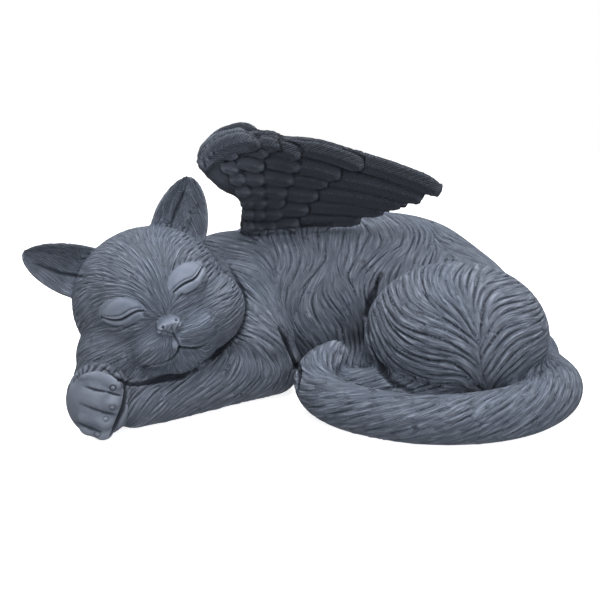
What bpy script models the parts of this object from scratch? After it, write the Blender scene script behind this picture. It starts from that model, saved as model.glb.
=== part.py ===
"""The angel cat: a sleeping cat with two raised wings, cast in one piece. Metres, +Z up.

The cat lies along X with its head at -X, its left flank towards -Y and its tail wrapped round the
+X end and along the front. Its proportions are counted in units, each a fixed share of its length.
"""

import math

import bmesh
import bpy
import numpy as np
from mathutils import Matrix, Vector
from mathutils.bvhtree import BVHTree
from mathutils.kdtree import KDTree

# Driving sizes.
FIGURE_LENGTH = 0.336
UNITS_IN_LENGTH = 336.0
FEATHER_THICKNESS = 0.0034
LOCK_WIDTH = 0.0100
LOCK_DEPTH = 0.0021
LOCK_LENGTH_SHARE = 3.2
HEAD_LOCKS = 0.6
TRIANGLES = 9800
MOST_TRIES = 16000
LINE_POINTS = 15
SHARP_ANGLE = math.radians(38)

UNIT = FIGURE_LENGTH / UNITS_IN_LENGTH
UP = Vector((0.0, 0.0, 1.0))

# Cells that the clay is fused on, and the rounds of smoothing after each, in units.
MASS_CELL = 3.0
LIMB_CELL = 1.9
FINE_CELL = 1.5
MASS_ROUNDS = 5
LIMB_ROUNDS = 3
FINE_ROUNDS = 1

# The trunk from the chest to the rump: x, y, z, half width and half height of each section.
TRUNK = (
    (-72, 8, 40, 30, 36),
    (-55, 26, 48, 40, 50),
    (-36, 38, 48, 45, 53),
    (-8, 48, 49, 48, 57),
    (30, 54, 51, 50, 59),
    (62, 52, 51, 50, 60),
    (88, 46, 48, 48, 56),
    (108, 37, 43, 43, 45),
    (124, 27, 34, 37, 37),
    (138, 16, 26, 29, 28),
    (148, 6, 20, 22, 22),
)
NEAR_HAUNCH = ((96, -22, 42), (57, 50, 46))
NEAR_HIP = ((116, -8, 38), (35, 46, 43))
FAR_HAUNCH = ((88, 72, 36), (52, 34, 40))
NEAR_SHOULDER = ((-38, 10, 56), (27, 25, 34))
NEAR_ELBOW = ((-32, -9, 36), (27, 23, 30))
NECK = ((-74, -6, 62), (34, 30, 34))
# The filling between the limbs, down to the flat underside.
UNDER_HEAD = ((-86, -26, 16), (30, 32, 26))
UNDER_BELLY = ((58, -4, 8), (46, 44, 20))

# The swelling of the back that each wing stands on: x, y, z, half width and half height.
WING_BED = (
    (-38, 26, 90, 9, 11),
    (-14, 30, 93, 9, 11),
    (14, 34, 95, 8, 10),
)

# Limbs and tail: x, y, z, half width and half height of each section.
TAIL = (
    (146, 6, 18, 20, 19),
    (153, -14, 15.5, 18, 16),
    (154, -36, 15, 17, 15.5),
    (146, -57, 14.5, 16, 15),
    (129, -76, 14, 15, 15),
    (109, -88, 13.5, 14.5, 14.5),
    (88, -93, 13, 14, 14),
    (64, -92, 12.5, 13.5, 13.5),
    (43, -83, 12.5, 13.5, 13.5),
    (26, -71.5, 13, 13.5, 13.5),
    (14, -57.5, 15, 13.5, 13.5),
    (9, -46, 20, 13, 13),
    (13, -35, 26, 12, 12),
    (21, -28, 31, 9.5, 9.5),
)
HIND_FOOT = (
    (86, -52, 14, 14, 14),
    (62, -48, 14, 13, 14),
    (38, -40, 13, 12, 13),
    (24, -33, 12, 11, 12),
)
NEAR_UPPER_ARM = (
    (-36, 8, 66, 20, 20),
    (-26, -2, 44, 21, 21),
    (-22, -6, 24, 20, 20),
)
NEAR_FOREARM = (
    (-18, -6, 19, 19, 20),
    (-38, -21, 18, 18, 19),
    (-58, -38, 17, 17.5, 18),
    (-78, -55.5, 17, 16.5, 18),
    (-94, -70, 16, 15, 16),
)
FAR_FOREARM = (
    (-100, 4, 26, 18, 20),
    (-114, -24, 24, 17, 19),
    (-118, -50, 22, 15, 18),
    (-113, -72, 22, 14, 18),
)
PAW = ((-110.5, -82, 20), (18.5, 14, 21.5))
# The four toes are stacked on edge, claw ends to the right: the middle of each end.
TOE_ENDS = ((-101.5, -88, 32), (-102.5, -91, 22.3), (-106, -92, 12.8), (-110.5, -90, 4.5))
TOE_ROOT_STEP = (-13, 1, 4)
TOE_HALF = 5.8

# The head: its centre, and how it is turned, in degrees about X, Y and Z.
HEAD_CENTRE = (-87, -35, 63.5)
HEAD_PITCH, HEAD_ROLL, HEAD_YAW = -12.0, -24.0, 15.5
# Forms in the head's own frame: right, forward and up, then the half sizes along them.
HEAD_FORMS = (
    ((0, -4, 5.5), (46, 42, 42.5)),
    ((-26, 4, -16), (30.5, 27, 26)),
    ((22, 5, -15), (28, 27, 25)),
    ((0, 12, 4), (36, 31, 36)),
    ((0, 10, -22), (32, 29, 22)),
    ((-10, 29, -20), (17, 14, 12.5)),
    ((8, 29, -21), (17, 14, 12.5)),
    ((0, 24, -32), (17, 13, 10)),
    ((0, 28, -2), (11, 15, 24)),
)
NOSE = ((-1.5, 41, -14), (7, 5, 4.6))
EYE_CENTRES = ((-20.5, 6.0), (21.5, 5.0))
EYE_DEPTH = 28.6
EYE_HALF = (13.0, 9.0, 9.0)
# Each ear's inner and outer base corner and its tip, as right and up in the head's frame.
EARS = (((20, 44), (49, 25), (56, 61)), ((-14, 45), (-42, 27), (-53, 62)))
EAR_HALF_DEPTH = 10.0

# Lines cut in the face, as right and up in the head's frame, with the cut's half width and depth.
EYE_SLIT = ((-11, 0.5), (-4, -3.0), (4, -3.6), (9.5, -1.5), (13.0, 2.2))
LID_FOLD = ((-10.5, 2.0), (-8, 6.8), (-1, 9.6), (6, 8.0), (12, 2.6))
PHILTRUM = ((0, -17.0), (0, -23.0), (-0.3, -29.0))
SMILE = ((0, -29.3), (5, -32.4), (11.5, -33.8), (17.5, -33.4), (23, -30.4))
SLIT_CUT = (2.0, 2.8)
FOLD_CUT = (1.6, 1.3)

# The wing is laid out on its own plane, as x and z; y follows from the plane's lean and sweep.
WING_ROOT = (-34.0, 27.0, 98.0)
WING_LEAN = math.radians(21)
WING_SWEEP = 0.03
WING_ARM = (
    (-32, 86, 8.5),
    (-31.5, 106, 8),
    (-30.5, 121, 7.5),
    (-37, 135, 8),
    (-49, 143, 9),
    (-56, 153, 8.5),
    (-50, 162, 7),
    (-38, 167, 5.5),
)
# Feathers point down by this many degrees at the wrist and up by this many at the root.
WRIST_ANGLE, ROOT_ANGLE = -13.0, 4.0
# Rows of feathers: count, length at the wrist and at the root, half width, height above the plane,
# and the line that their tips reach, from the wrist down.
FEATHER_ROWS = (
    (6, 128, 56, 6.6, 0.0, ((91, 130), (79, 125), (66, 121), (55, 117), (40, 111), (22, 108.5))),
    (6, 62, 36, 6.0, 2.0, ((40, 148), (26, 142), (18, 137), (12, 128.5), (6, 119), (0, 108.5))),
    (7, 36, 21, 5.4, 3.8, ((1, 156), (0, 148), (-4, 139), (-8, 131), (-9, 125), (-11, 117), (-15, 108))),
    (7, 22, 12, 5.0, 5.4, ((-19, 158), (-22, 149), (-22, 140), (-22, 132), (-21, 125), (-22, 117), (-24, 108))),
    (7, 12, 8, 4.6, 6.8, ((-38, 157), (-38, 148), (-34, 141), (-31, 133), (-29, 126), (-29, 118), (-29, 109))),
)
TOP_BULGE = 8.5
# A feather's section: places across its half width, and the skin's height there in thicknesses.
FEATHER_SECTION = ((-1, 0.3), (-0.5, 0.72), (-0.16, 0.9), (0, 1.25), (0.16, 0.9), (0.5, 0.72), (1, 0.3))
FEATHER_ROUND_FROM = 0.72
# The feathers that wrap the wrist: start, bend and end, half width, and height above the plane.
WRIST_FEATHERS = (
    ((-54, 151), (-38, 166), (-12, 164), 5.5, 4.6),
    ((-61, 148), (-50, 165), (-24, 166), 5.5, 6.4),
    ((-61, 151), (-52, 167), (-28, 168.5), 6.5, 7.2),
)
FAR_WING_TURN = 5.0
FAR_WING_DROP = 7.0
SPINE_AT_WINGS = (-34.0, 41.0)

# How the fur lies, in units and degrees. The haunch's locks curl in to one point from its front.
HAUNCH_FOCUS = (112.0, -66.0, 22.0)
HAUNCH_CURL = math.radians(55)
HAUNCH_CURL_REACH = 70.0
RUMP_CENTRE, RUMP_REACH = (140.0, 10.0, 30.0), 50.0
HEAD_REACH = (52, 50, 48)
NOSE_BRIDGE = (0, 44, -2)
SPINE_SIDE = 40.0
LIMB_SLANTS = (
    (TAIL, 0.35),
    (NEAR_FOREARM, 0.2),
    (NEAR_UPPER_ARM, 0.4),
    (HIND_FOOT, 0.2),
    (FAR_FOREARM, 0.2),
)
# The forms that the fur leaves bare on the face, in the head's own frame, and how far off a wing's
# plane and above its root the feathers reach.
BARE_MUZZLE = ((0, 44, -14), (31, 26, 24))
BARE_EYES = ((0, 40, 6), (37, 26, 10))
WING_REACH, WING_START = 11.0, 7.0
BASE_MARGIN = 2.0
FLAT_BELOW = 0.4

# Where the thinned skin keeps more of its faces, from 0 to 1, and how strongly.
KEPT_FACE = ((0, 34, -10), (44, 30, 34))
KEPT_SHARES = {"wings": 0.6, "head": 0.3, "ears": 0.9, "face": 0.9, "paw": 0.9}
EAR_REACH = (24, 14, 24)
KEEP_STRENGTH = 0.03



def at(point):
    """A point counted in units, in metres."""
    return Vector(point) * UNIT


def spline(rows, steps):
    """A smooth curve through rows of numbers, with this many steps between neighbours."""
    rows = np.array(rows, float)
    ends = np.vstack([2 * rows[0] - rows[1], rows, 2 * rows[-1] - rows[-2]])
    out = []
    for a, b, c, d in zip(ends, ends[1:], ends[2:], ends[3:]):
        for t in np.arange(steps) / steps:
            square = (2 * a - 5 * b + 4 * c - d) * t**2
            cube = (3 * b - a - 3 * c + d) * t**3
            out.append(0.5 * (2 * b + (c - a) * t + square + cube))
    return np.array(out + [rows[-1]])


def add_ball(clay, centre, half, turn=Matrix.Identity(4)):
    size = Matrix.Diagonal((half[0] * UNIT, half[1] * UNIT, half[2] * UNIT, 1.0))
    bmesh.ops.create_uvsphere(
        clay, u_segments=32, v_segments=20, radius=1.0, matrix=Matrix.Translation(at(centre)) @ turn @ size
    )


def add_rings(clay, rings):
    """A closed body through rings of points that are counted in units."""
    loops = [[clay.verts.new(at(point)) for point in ring] for ring in rings]
    sides = len(loops[0])
    for low, high in zip(loops, loops[1:]):
        for i in range(sides):
            j = (i + 1) % sides
            clay.faces.new((low[i], low[j], high[j], high[i]))
    clay.faces.new(loops[0][::-1])
    clay.faces.new(loops[-1])


def add_tube(clay, rows, sides=24, steps=6):
    """A limb: oval sections along a curve, with a ball at each end."""
    path = spline(rows, steps)
    along = np.gradient(path[:, :3], axis=0)
    rings = []
    for (x, y, z, wide, tall), heading in zip(path, along):
        side = Vector(heading).cross(UP).normalized()
        over = side.cross(Vector(heading)).normalized()
        turn = np.linspace(0, 2 * math.pi, sides, endpoint=False)
        middle = Vector((x, y, z))
        rings.append([middle + side * (wide * math.cos(a)) + over * (tall * math.sin(a)) for a in turn])
    add_rings(clay, rings)
    for x, y, z, wide, tall in (rows[0], rows[-1]):
        add_ball(clay, (x, y, z), (wide, wide, tall))


def head_turn():
    yaw = Matrix.Rotation(math.radians(HEAD_YAW), 4, "Z")
    pitch = Matrix.Rotation(math.radians(HEAD_PITCH), 4, "X")
    roll = Matrix.Rotation(math.radians(HEAD_ROLL), 4, "Y")
    return yaw @ pitch @ roll


def in_head(right, forward, up):
    """A point of the head's own frame, in the figure's units."""
    return Vector(HEAD_CENTRE) + head_turn() @ Vector((right, -forward, up))


def add_head(clay):
    for centre, half in HEAD_FORMS:
        add_ball(clay, in_head(*centre), half, head_turn())


def add_face(clay):
    centre, half = NOSE
    add_ball(clay, in_head(*centre), half, head_turn())
    for right, up in EYE_CENTRES:
        add_ball(clay, in_head(right, EYE_DEPTH, up), EYE_HALF, head_turn())


def add_ear(clay, inner, outer, tip):
    """An ear: crescent sections from its base to its tip, hollow in front, with a rolled rim."""
    inner, outer, tip = (Vector((r, 0.0, u)) for r, u in (inner, outer, tip))
    base = (inner + outer) / 2
    half = (outer - inner) / 2
    rings = []
    for share in np.linspace(-0.35, 1.0, 10):
        reach = max(share, 0.0)
        narrow = max(1.0 - reach**1.8, 0.02) ** 0.6
        centre = base + (tip - base) * share
        depth = EAR_HALF_DEPTH * (1.0 - 0.42 * reach)
        ring = []
        for a in np.linspace(0, 2 * math.pi, 20, endpoint=False):
            across = half * (math.cos(a) * narrow)
            back = depth * math.sin(a)
            if back < 0:
                back = -0.35 * depth * abs(math.sin(a)) ** 0.5 + 0.6 * depth * math.sin(a) ** 2
            point = centre + across
            ring.append(in_head(point.x, -back - 2.0 - 5.0 * reach, point.z))
        rings.append(ring)
    add_rings(clay, rings)


def add_toes(clay):
    step = Vector(TOE_ROOT_STEP)
    for number, end in enumerate(TOE_ENDS):
        end = Vector(end)
        root = end + step * (1.0 - 0.15 * number)
        rows = []
        for share, swell in ((0.0, 0.95), (0.5, 0.9), (1.0, 1.0)):
            rows.append((*root.lerp(end, share), TOE_HALF, TOE_HALF * swell))
        add_tube(clay, rows, sides=16, steps=4)


def wing_point(x, z, out=0.0):
    """A point of the wing's plane, out units to the viewer's side of it."""
    across = WING_ROOT[1] + WING_SWEEP * (x - WING_ROOT[0])
    rise = z - WING_ROOT[2]
    y = across - rise * math.sin(WING_LEAN) - out * math.cos(WING_LEAN)
    return Vector((x, y, WING_ROOT[2] + rise * math.cos(WING_LEAN) - out * math.sin(WING_LEAN)))


def curve_at(rows, share):
    """The point at this share of a smooth curve's count of rows."""
    path = spline(rows, 8)
    place = share * (len(path) - 1)
    low = min(int(place), len(path) - 2)
    return path[low] + (path[low + 1] - path[low]) * (place - low)


def add_feather(clay, start, bend, end, half, out, side):
    """A feather: a thin closed blade along a bent line, round at its tip, with a raised shaft."""
    thick = FEATHER_THICKNESS / UNIT
    stations = 12
    rings = []
    for number in range(stations + 1):
        share = number / stations
        middle = start * (1 - share) ** 2 + bend * 2 * share * (1 - share) + end * share**2
        heading = (bend - start) * (1 - share) + (end - bend) * share
        heading = heading / np.linalg.norm(heading)
        across = np.array((-heading[1], heading[0]))
        past_round = max((share - FEATHER_ROUND_FROM) / (1.02 - FEATHER_ROUND_FROM), 0)
        round_off = math.sqrt(max(1 - past_round**2, 0.01))
        wide = half * (0.62 + 0.38 * min(share / 0.5, 1)) * round_off
        top = []
        for c, rise in FEATHER_SECTION:
            x, z = middle + across * wide * c
            top.append(wing_point(x, z, side * (out + thick * rise)))
        under = []
        for c in (1, 0, -1):
            x, z = middle + across * wide * c
            under.append(wing_point(x, z, side * (out - 0.4 * thick)))
        rings.append(top + under)
    add_rings(clay, rings)


def feather_lines():
    """The start, bend and end of each feather, with its half width and height above the plane."""
    for count, wrist_length, root_length, half, out, tips in FEATHER_ROWS:
        for number in range(count):
            share = number / (count - 1)
            end = curve_at(tips, share)
            angle = math.radians(WRIST_ANGLE + (ROOT_ANGLE - WRIST_ANGLE) * share)
            length = wrist_length + (root_length - wrist_length) * share**0.8
            start = end - length * np.array((math.cos(angle), math.sin(angle)))
            rise = TOP_BULGE * length / FEATHER_ROWS[0][1] * (1 - share)
            yield start, (start + end) / 2 + np.array((0.0, 2 * rise)), end, half, out
    for start, bend, end, half, out in WRIST_FEATHERS:
        yield np.array(start), np.array(bend), np.array(end), half, out


def make_wing():
    """One wing, fused: its arm, and rows of feathers on both faces."""
    clay = bmesh.new()
    for x, z, r in spline(WING_ARM, 3):
        add_ball(clay, wing_point(x, z), (r, 0.8 * r, r))
    for side in (1, -1):
        for start, bend, end, half, out in feather_lines():
            add_feather(clay, start, bend, end, half, out, side)
    return fused("wing", clay, FINE_CELL, 0)


def mirrored(mesh):
    """The far wing: the near one mirrored across the spine and turned a little."""
    spine = Matrix.Translation(at((*SPINE_AT_WINGS, 0.0)))
    placed = Matrix.Translation(at((*SPINE_AT_WINGS, -FAR_WING_DROP)))
    turn = Matrix.Rotation(math.radians(FAR_WING_TURN), 4, "Z")
    far = mesh.copy()
    far.transform(placed @ turn @ Matrix.Scale(-1.0, 4, (0.0, 1.0, 0.0)) @ spine.inverted())
    far.flip_normals()
    return far


def fused(name, clay, cell, rounds):
    """The clay's overlapping bodies made one skin, smoothed, with no hollow left inside."""
    bmesh.ops.recalc_face_normals(clay, faces=clay.faces)
    mesh = bpy.data.meshes.new(name)
    clay.to_mesh(mesh)
    clay.free()
    obj = bpy.data.objects.new(name, mesh)
    bpy.context.scene.collection.objects.link(obj)
    remesh = obj.modifiers.new("fuse", "REMESH")
    remesh.mode = "VOXEL"
    remesh.voxel_size = cell * UNIT
    smooth = obj.modifiers.new("smooth", "SMOOTH")
    smooth.factor = 0.5
    smooth.iterations = rounds
    smooth.show_viewport = smooth.show_render = rounds > 0
    whole = evaluated(obj)
    bpy.data.objects.remove(obj)
    return outer_skin(whole)


def evaluated(obj):
    graph = bpy.context.evaluated_depsgraph_get()
    return bpy.data.meshes.new_from_object(obj.evaluated_get(graph))


def outer_skin(mesh):
    """The mesh without the closed hollows that fusing leaves inside it."""
    clay = bmesh.new()
    clay.from_mesh(mesh)
    left = set(clay.verts)
    islands = []
    while left:
        island = []
        edge = [left.pop()]
        while edge:
            vert = edge.pop()
            island.append(vert)
            for link in vert.link_edges:
                other = link.other_vert(vert)
                if other in left:
                    left.remove(other)
                    edge.append(other)
        islands.append(island)
    islands.sort(key=len)
    for island in islands[:-1]:
        bmesh.ops.delete(clay, geom=island, context="VERTS")
    clay.to_mesh(mesh)
    clay.free()
    return mesh


def points_of(mesh):
    """The mesh's points, counted in units."""
    flat = np.empty(len(mesh.vertices) * 3, np.float32)
    mesh.vertices.foreach_get("co", flat)
    return flat.reshape(-1, 3).astype(float) / UNIT


def normals_of(mesh):
    flat = np.empty(len(mesh.vertices) * 3, np.float32)
    mesh.vertex_normals.foreach_get("vector", flat)
    return flat.reshape(-1, 3).astype(float)


def set_points(mesh, points):
    mesh.vertices.foreach_set("co", (points * UNIT).astype(np.float32).ravel())
    mesh.update()


def unit_rows(rows):
    return rows / np.maximum(np.linalg.norm(rows, axis=1, keepdims=True), 1e-9)


def ball_nearness(points, centre, half, turn=None):
    """1 inside an oval form, falling to 0 a little way outside it."""
    local = points - np.array(centre)
    if turn is not None:
        local = local @ np.array(turn.to_3x3())
    reach = np.linalg.norm(local / np.array(half), axis=1)
    return np.clip(1 - (reach - 1.0) / 0.35, 0, 1)


def tube_nearness(points, rows):
    """How near each point is to a limb, from 0 to 1, and the limb's heading there."""
    path = spline(rows, 4)
    heading = unit_rows(np.gradient(path[:, :3], axis=0))
    gap = np.linalg.norm(points[:, None, :] - path[None, :, :3], axis=2) / path[None, :, 3]
    nearest = gap.argmin(axis=1)
    reach = gap.min(axis=1)
    return np.clip(1 - (reach - 1.0) / 0.3, 0, 1), heading[nearest]


def curl_at(points):
    """The haunch's way of lying: in to its focus, swung upwards the farther in front of it."""
    inward = np.array(HAUNCH_FOCUS) - points
    swing = HAUNCH_CURL * np.clip(inward[:, 0] / HAUNCH_CURL_REACH, -0.2, 1)
    ahead, rise = inward[:, 0].copy(), inward[:, 2].copy()
    inward[:, 0] = ahead * np.cos(swing) - rise * np.sin(swing)
    inward[:, 2] = ahead * np.sin(swing) + rise * np.cos(swing)
    return inward


def flow_at(points, normals):
    """The way the fur lies at each point, along the skin."""
    x, y, z = points.T
    near = np.where(y < SPINE_SIDE, 1.0, -1.0)
    trunk = np.stack([0.45 + 0.4 * np.sin(x / 17 + z / 14), -0.4 * near, -1.0 + 0 * x], axis=1)
    flow = unit_rows(trunk) * 0.12
    flow += unit_rows(curl_at(points)) * ball_nearness(points, *NEAR_HAUNCH)[:, None]
    back = np.linalg.norm(points - np.array(RUMP_CENTRE), axis=1)
    rump = np.clip(1.4 - back / RUMP_REACH, 0, 1)[:, None]
    flow += unit_rows(np.stack([0.2 + 0 * x, -0.5 * near, -1.0 + 0 * x], axis=1)) * rump * 0.5
    nose = np.array(in_head(*NOSE_BRIDGE))
    head = ball_nearness(points, HEAD_CENTRE, HEAD_REACH, head_turn())
    flow = flow * (1 - head[:, None]) + unit_rows(points - nose) * head[:, None]
    for rows, slant in LIMB_SLANTS:
        weight, heading = tube_nearness(points, rows)
        weight = (weight * (1 - head))[:, None]
        sideways = np.cross(normals, heading)
        flow = flow * (1 - weight) + unit_rows(heading + slant * sideways) * weight
    flow -= normals * (flow * normals).sum(axis=1, keepdims=True)
    return unit_rows(flow)


def lock_share(points):
    """How large the locks are at each point, against those of the trunk."""
    head = ball_nearness(points, HEAD_CENTRE, HEAD_REACH, head_turn())
    return 1 - (1 - HEAD_LOCKS) * head


def fur_seeds(points, flow, allowed, spacing, length, seed):
    """Places for the locks: at random, but none beside or end on end with another."""
    rng = np.random.default_rng(seed)
    order = rng.permutation(np.flatnonzero(allowed))[:MOST_TRIES]
    cell = length.max()
    cells = {}
    taken = []
    for index in order:
        here = points[index]
        key = tuple((here // cell).astype(int))
        crowd = []
        for i in (-1, 0, 1):
            for j in (-1, 0, 1):
                for k in (-1, 0, 1):
                    crowd += cells.get((key[0] + i, key[1] + j, key[2] + k), [])
        if crowd:
            gap = points[crowd] - here
            along = np.abs(gap @ flow[index])
            aside = np.sqrt(np.maximum((gap * gap).sum(axis=1) - along**2, 0))
            if ((along < 0.8 * length[index]) & (aside < spacing[index])).any():
                continue
        cells.setdefault(key, []).append(index)
        taken.append(index)
    return np.array(taken)


def trace(skin, starts, length):
    """Lines along the fur through the starts, as an array of lines by points by three."""
    stride = length[:, None] / (LINE_POINTS - 1)
    halves = []
    for way in (-1, 1):
        here = starts.copy()
        line = [here.copy()]
        for _ in range(LINE_POINTS // 2):
            normals = np.empty_like(here)
            for i, point in enumerate(here):
                place, normal, _, _ = skin.find_nearest(Vector(point))
                here[i] = place
                normals[i] = normal
            here = here + flow_at(here, normals) * (way * stride)
            line.append(here.copy())
        halves.append(line)
    back, forth = halves
    return np.stack(back[::-1] + forth[1:], axis=1)


def cut_lines(points, normals, lines, half_width, depth):
    """The points pressed in along the lines, each cut deepest halfway and running out at its ends."""
    count, steps, _ = lines.shape
    fade = np.tile(np.sin(np.linspace(0.06, 0.94, steps) * math.pi) ** 0.6, count)
    heading = unit_rows(np.gradient(lines, axis=1).reshape(-1, 3))
    samples = lines.reshape(-1, 3)
    wide = np.repeat(half_width, steps) * (0.5 + 0.5 * fade)
    deep = np.repeat(depth, steps) * fade
    tree = KDTree(len(samples))
    for i, sample in enumerate(samples):
        tree.insert(sample, i)
    tree.balance()
    nearest = np.array([tree.find(point)[1] for point in points])
    offset = points - samples[nearest]
    offset -= heading[nearest] * (offset * heading[nearest]).sum(axis=1, keepdims=True)
    share = np.linalg.norm(offset, axis=1) / wide[nearest]
    press = deep[nearest] * np.clip(1 - share**2, 0, 1) ** 1.5
    return points - normals * press[:, None]


def skin_of(mesh):
    points = points_of(mesh)
    return BVHTree.FromPolygons(points.tolist(), [tuple(face.vertices) for face in mesh.polygons])


def face_line(skin, line):
    """A line drawn on the face, laid on the skin from in front."""
    path = spline(line, 6)
    share = np.linspace(0, len(path) - 1, LINE_POINTS)
    ahead = head_turn() @ Vector((0.0, 1.0, 0.0))
    out = []
    for s in share:
        low = min(int(s), len(path) - 2)
        right, up = path[low] + (path[low + 1] - path[low]) * (s - low)
        hit = skin.ray_cast(in_head(right, 90, up), ahead)[0]
        out.append(hit)
    return np.array(out)


def face_cuts(skin):
    """The lines of the face: slits, lid folds and the smile, with each one's half width and depth."""
    lines, cuts = [face_line(skin, PHILTRUM)], [SLIT_CUT]
    for (right, up), side in zip(EYE_CENTRES, (-1, 1)):
        for line, cut in ((EYE_SLIT, SLIT_CUT), (LID_FOLD, FOLD_CUT)):
            lines.append(face_line(skin, [(right + side * r, up + u) for r, u in line]))
            cuts.append(cut)
        lines.append(face_line(skin, [(side * r, u) for r, u in SMILE]))
        cuts.append(SLIT_CUT)
    return np.array(lines), *np.array(cuts).T


def on_wings(points):
    """Whether each point is on a wing, by its place across the wing's plane and up it."""
    found = np.zeros(len(points), bool)
    for side in (1, -1):
        out = side * (SPINE_AT_WINGS[1] - points[:, 1]) - (SPINE_AT_WINGS[1] - WING_ROOT[1])
        rise = points[:, 2] - WING_ROOT[2]
        across = out * math.cos(WING_LEAN) - rise * math.sin(WING_LEAN)
        up = out * math.sin(WING_LEAN) + rise * math.cos(WING_LEAN)
        found |= (np.abs(across) < WING_REACH) & (up > WING_START) & (points[:, 0] > HEAD_CENTRE[0] + 20)
    return found


def smooth_places(points):
    """Where the fur is left uncut: the wings, the face's middle, the toes and the base."""
    face = ball_nearness(points, in_head(*BARE_MUZZLE[0]), BARE_MUZZLE[1], head_turn()) > 0
    face |= ball_nearness(points, in_head(*BARE_EYES[0]), BARE_EYES[1], head_turn()) > 0
    toes = ball_nearness(points, *PAW) > 0.2
    return on_wings(points) | face | toes | (points[:, 2] < BASE_MARGIN)


def kept_shares(points):
    """How much finer each point's surroundings stay when the skin is thinned, from 0 to 1."""
    kept = np.zeros(len(points))
    kept[ball_nearness(points, HEAD_CENTRE, HEAD_REACH, head_turn()) > 0] = KEPT_SHARES["head"]
    for inner, outer, tip in EARS:
        middle = in_head((inner[0] + outer[0] + tip[0]) / 3, -2.0, (inner[1] + outer[1] + tip[1]) / 3)
        kept[ball_nearness(points, middle, EAR_REACH, head_turn()) > 0.3] = KEPT_SHARES["ears"]
    kept[on_wings(points)] = KEPT_SHARES["wings"]
    kept[ball_nearness(points, *PAW) > 0] = KEPT_SHARES["paw"]
    kept[ball_nearness(points, in_head(*KEPT_FACE[0]), KEPT_FACE[1], head_turn()) > 0] = KEPT_SHARES["face"]
    return kept


def carve(mesh):
    """The locks of fur and the lines of the face, cut into the skin."""
    points, normals = points_of(mesh), normals_of(mesh)
    skin = skin_of(mesh)
    share = lock_share(points)
    spacing = share * LOCK_WIDTH / UNIT
    length = LOCK_LENGTH_SHARE * spacing
    seeds = fur_seeds(points, flow_at(points, normals), ~smooth_places(points), spacing, length, seed=3)
    locks = trace(skin, points[seeds], length[seeds])
    points = cut_lines(points, normals, locks, 0.36 * spacing[seeds], share[seeds] * LOCK_DEPTH / UNIT)
    points = cut_lines(points, normals, *face_cuts(skin))
    set_points(mesh, points)


def settle(mesh):
    """The underside made flat on the ground, and the figure centred over the origin."""
    points = points_of(mesh)
    points[points[:, 2] < FLAT_BELOW, 2] = 0.0
    low, high = points.min(axis=0), points.max(axis=0)
    points[:, :2] -= (low[:2] + high[:2]) / 2
    set_points(mesh, points)


def stone():
    """Dark grey cast stone."""
    material = bpy.data.materials.new("cast stone")
    material.use_nodes = True
    shader = material.node_tree.nodes["Principled BSDF"]
    shader.inputs["Base Color"].default_value = (0.105, 0.118, 0.142, 1.0)
    shader.inputs["Roughness"].default_value = 0.72
    shader.inputs["Metallic"].default_value = 0.0
    return material


def build_masses():
    clay = bmesh.new()
    add_tube(clay, TRUNK, sides=32)
    for centre, half in (NEAR_HAUNCH, NEAR_HIP, FAR_HAUNCH, NEAR_SHOULDER, NEAR_ELBOW, NECK):
        add_ball(clay, centre, half)
    for centre, half in (UNDER_HEAD, UNDER_BELLY):
        add_ball(clay, centre, half)
    return fused("masses", clay, MASS_CELL, MASS_ROUNDS)


def build_limbs(masses):
    clay = bmesh.new()
    for rows in (TAIL, HIND_FOOT, NEAR_UPPER_ARM, NEAR_FOREARM, FAR_FOREARM, WING_BED):
        add_tube(clay, rows)
    add_tube(clay, [(x, 2 * SPINE_AT_WINGS[1] - y, z, wide, tall) for x, y, z, wide, tall in WING_BED])
    add_ball(clay, *PAW)
    add_head(clay)
    clay.from_mesh(masses)
    return fused("limbs", clay, LIMB_CELL, LIMB_ROUNDS)


def build_details(limbs):
    clay = bmesh.new()
    add_face(clay)
    add_toes(clay)
    for ear in EARS:
        add_ear(clay, *ear)
    wing = make_wing()
    for mesh in (limbs, wing, mirrored(wing)):
        clay.from_mesh(mesh)
    return fused("angel_cat", clay, FINE_CELL, FINE_ROUNDS)


def thinned(mesh):
    """The mesh cut down to its count of triangles, with more of them left on the finer forms."""
    obj = bpy.data.objects.new("thinning", mesh)
    bpy.context.scene.collection.objects.link(obj)
    group = obj.vertex_groups.new(name="kept")
    kept = kept_shares(points_of(mesh))
    for share in np.unique(kept):
        group.add(np.flatnonzero(kept == share).tolist(), float(share), "REPLACE")
    cut = obj.modifiers.new("thin", "DECIMATE")
    mesh.calc_loop_triangles()
    cut.ratio = TRIANGLES / len(mesh.loop_triangles)
    cut.use_collapse_triangulate = True
    cut.vertex_group = group.name
    cut.invert_vertex_group = True
    cut.vertex_group_factor = KEEP_STRENGTH
    out = evaluated(obj)
    bpy.data.objects.remove(obj)
    return out


def main():
    for obj in list(bpy.data.objects):
        bpy.data.objects.remove(obj)
    mesh = build_details(build_limbs(build_masses()))
    carve(mesh)
    points = points_of(mesh)
    points[:, 2] = np.maximum(points[:, 2], 0.0)
    set_points(mesh, points)
    mesh = thinned(mesh)
    settle(mesh)
    mesh.name = "angel_cat"
    mesh.materials.append(stone())
    mesh.shade_smooth()
    mesh.set_sharp_from_angle(angle=SHARP_ANGLE)
    cat = bpy.data.objects.new("angel_cat", mesh)
    bpy.context.scene.collection.objects.link(cat)


if __name__ == "__main__":
    main()
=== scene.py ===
"""The looks of the angel cat: a sleeping cat with two raised wings, cast in one piece in dark stone.

The figure is modelled in clay on the solid's own forms, fused to one skin, carved with the fur,
the feathers, the face and the toes, thinned, and given a worn cast stone finish, with painted shade
in its grooves and on its wings and ears.
"""

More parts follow.
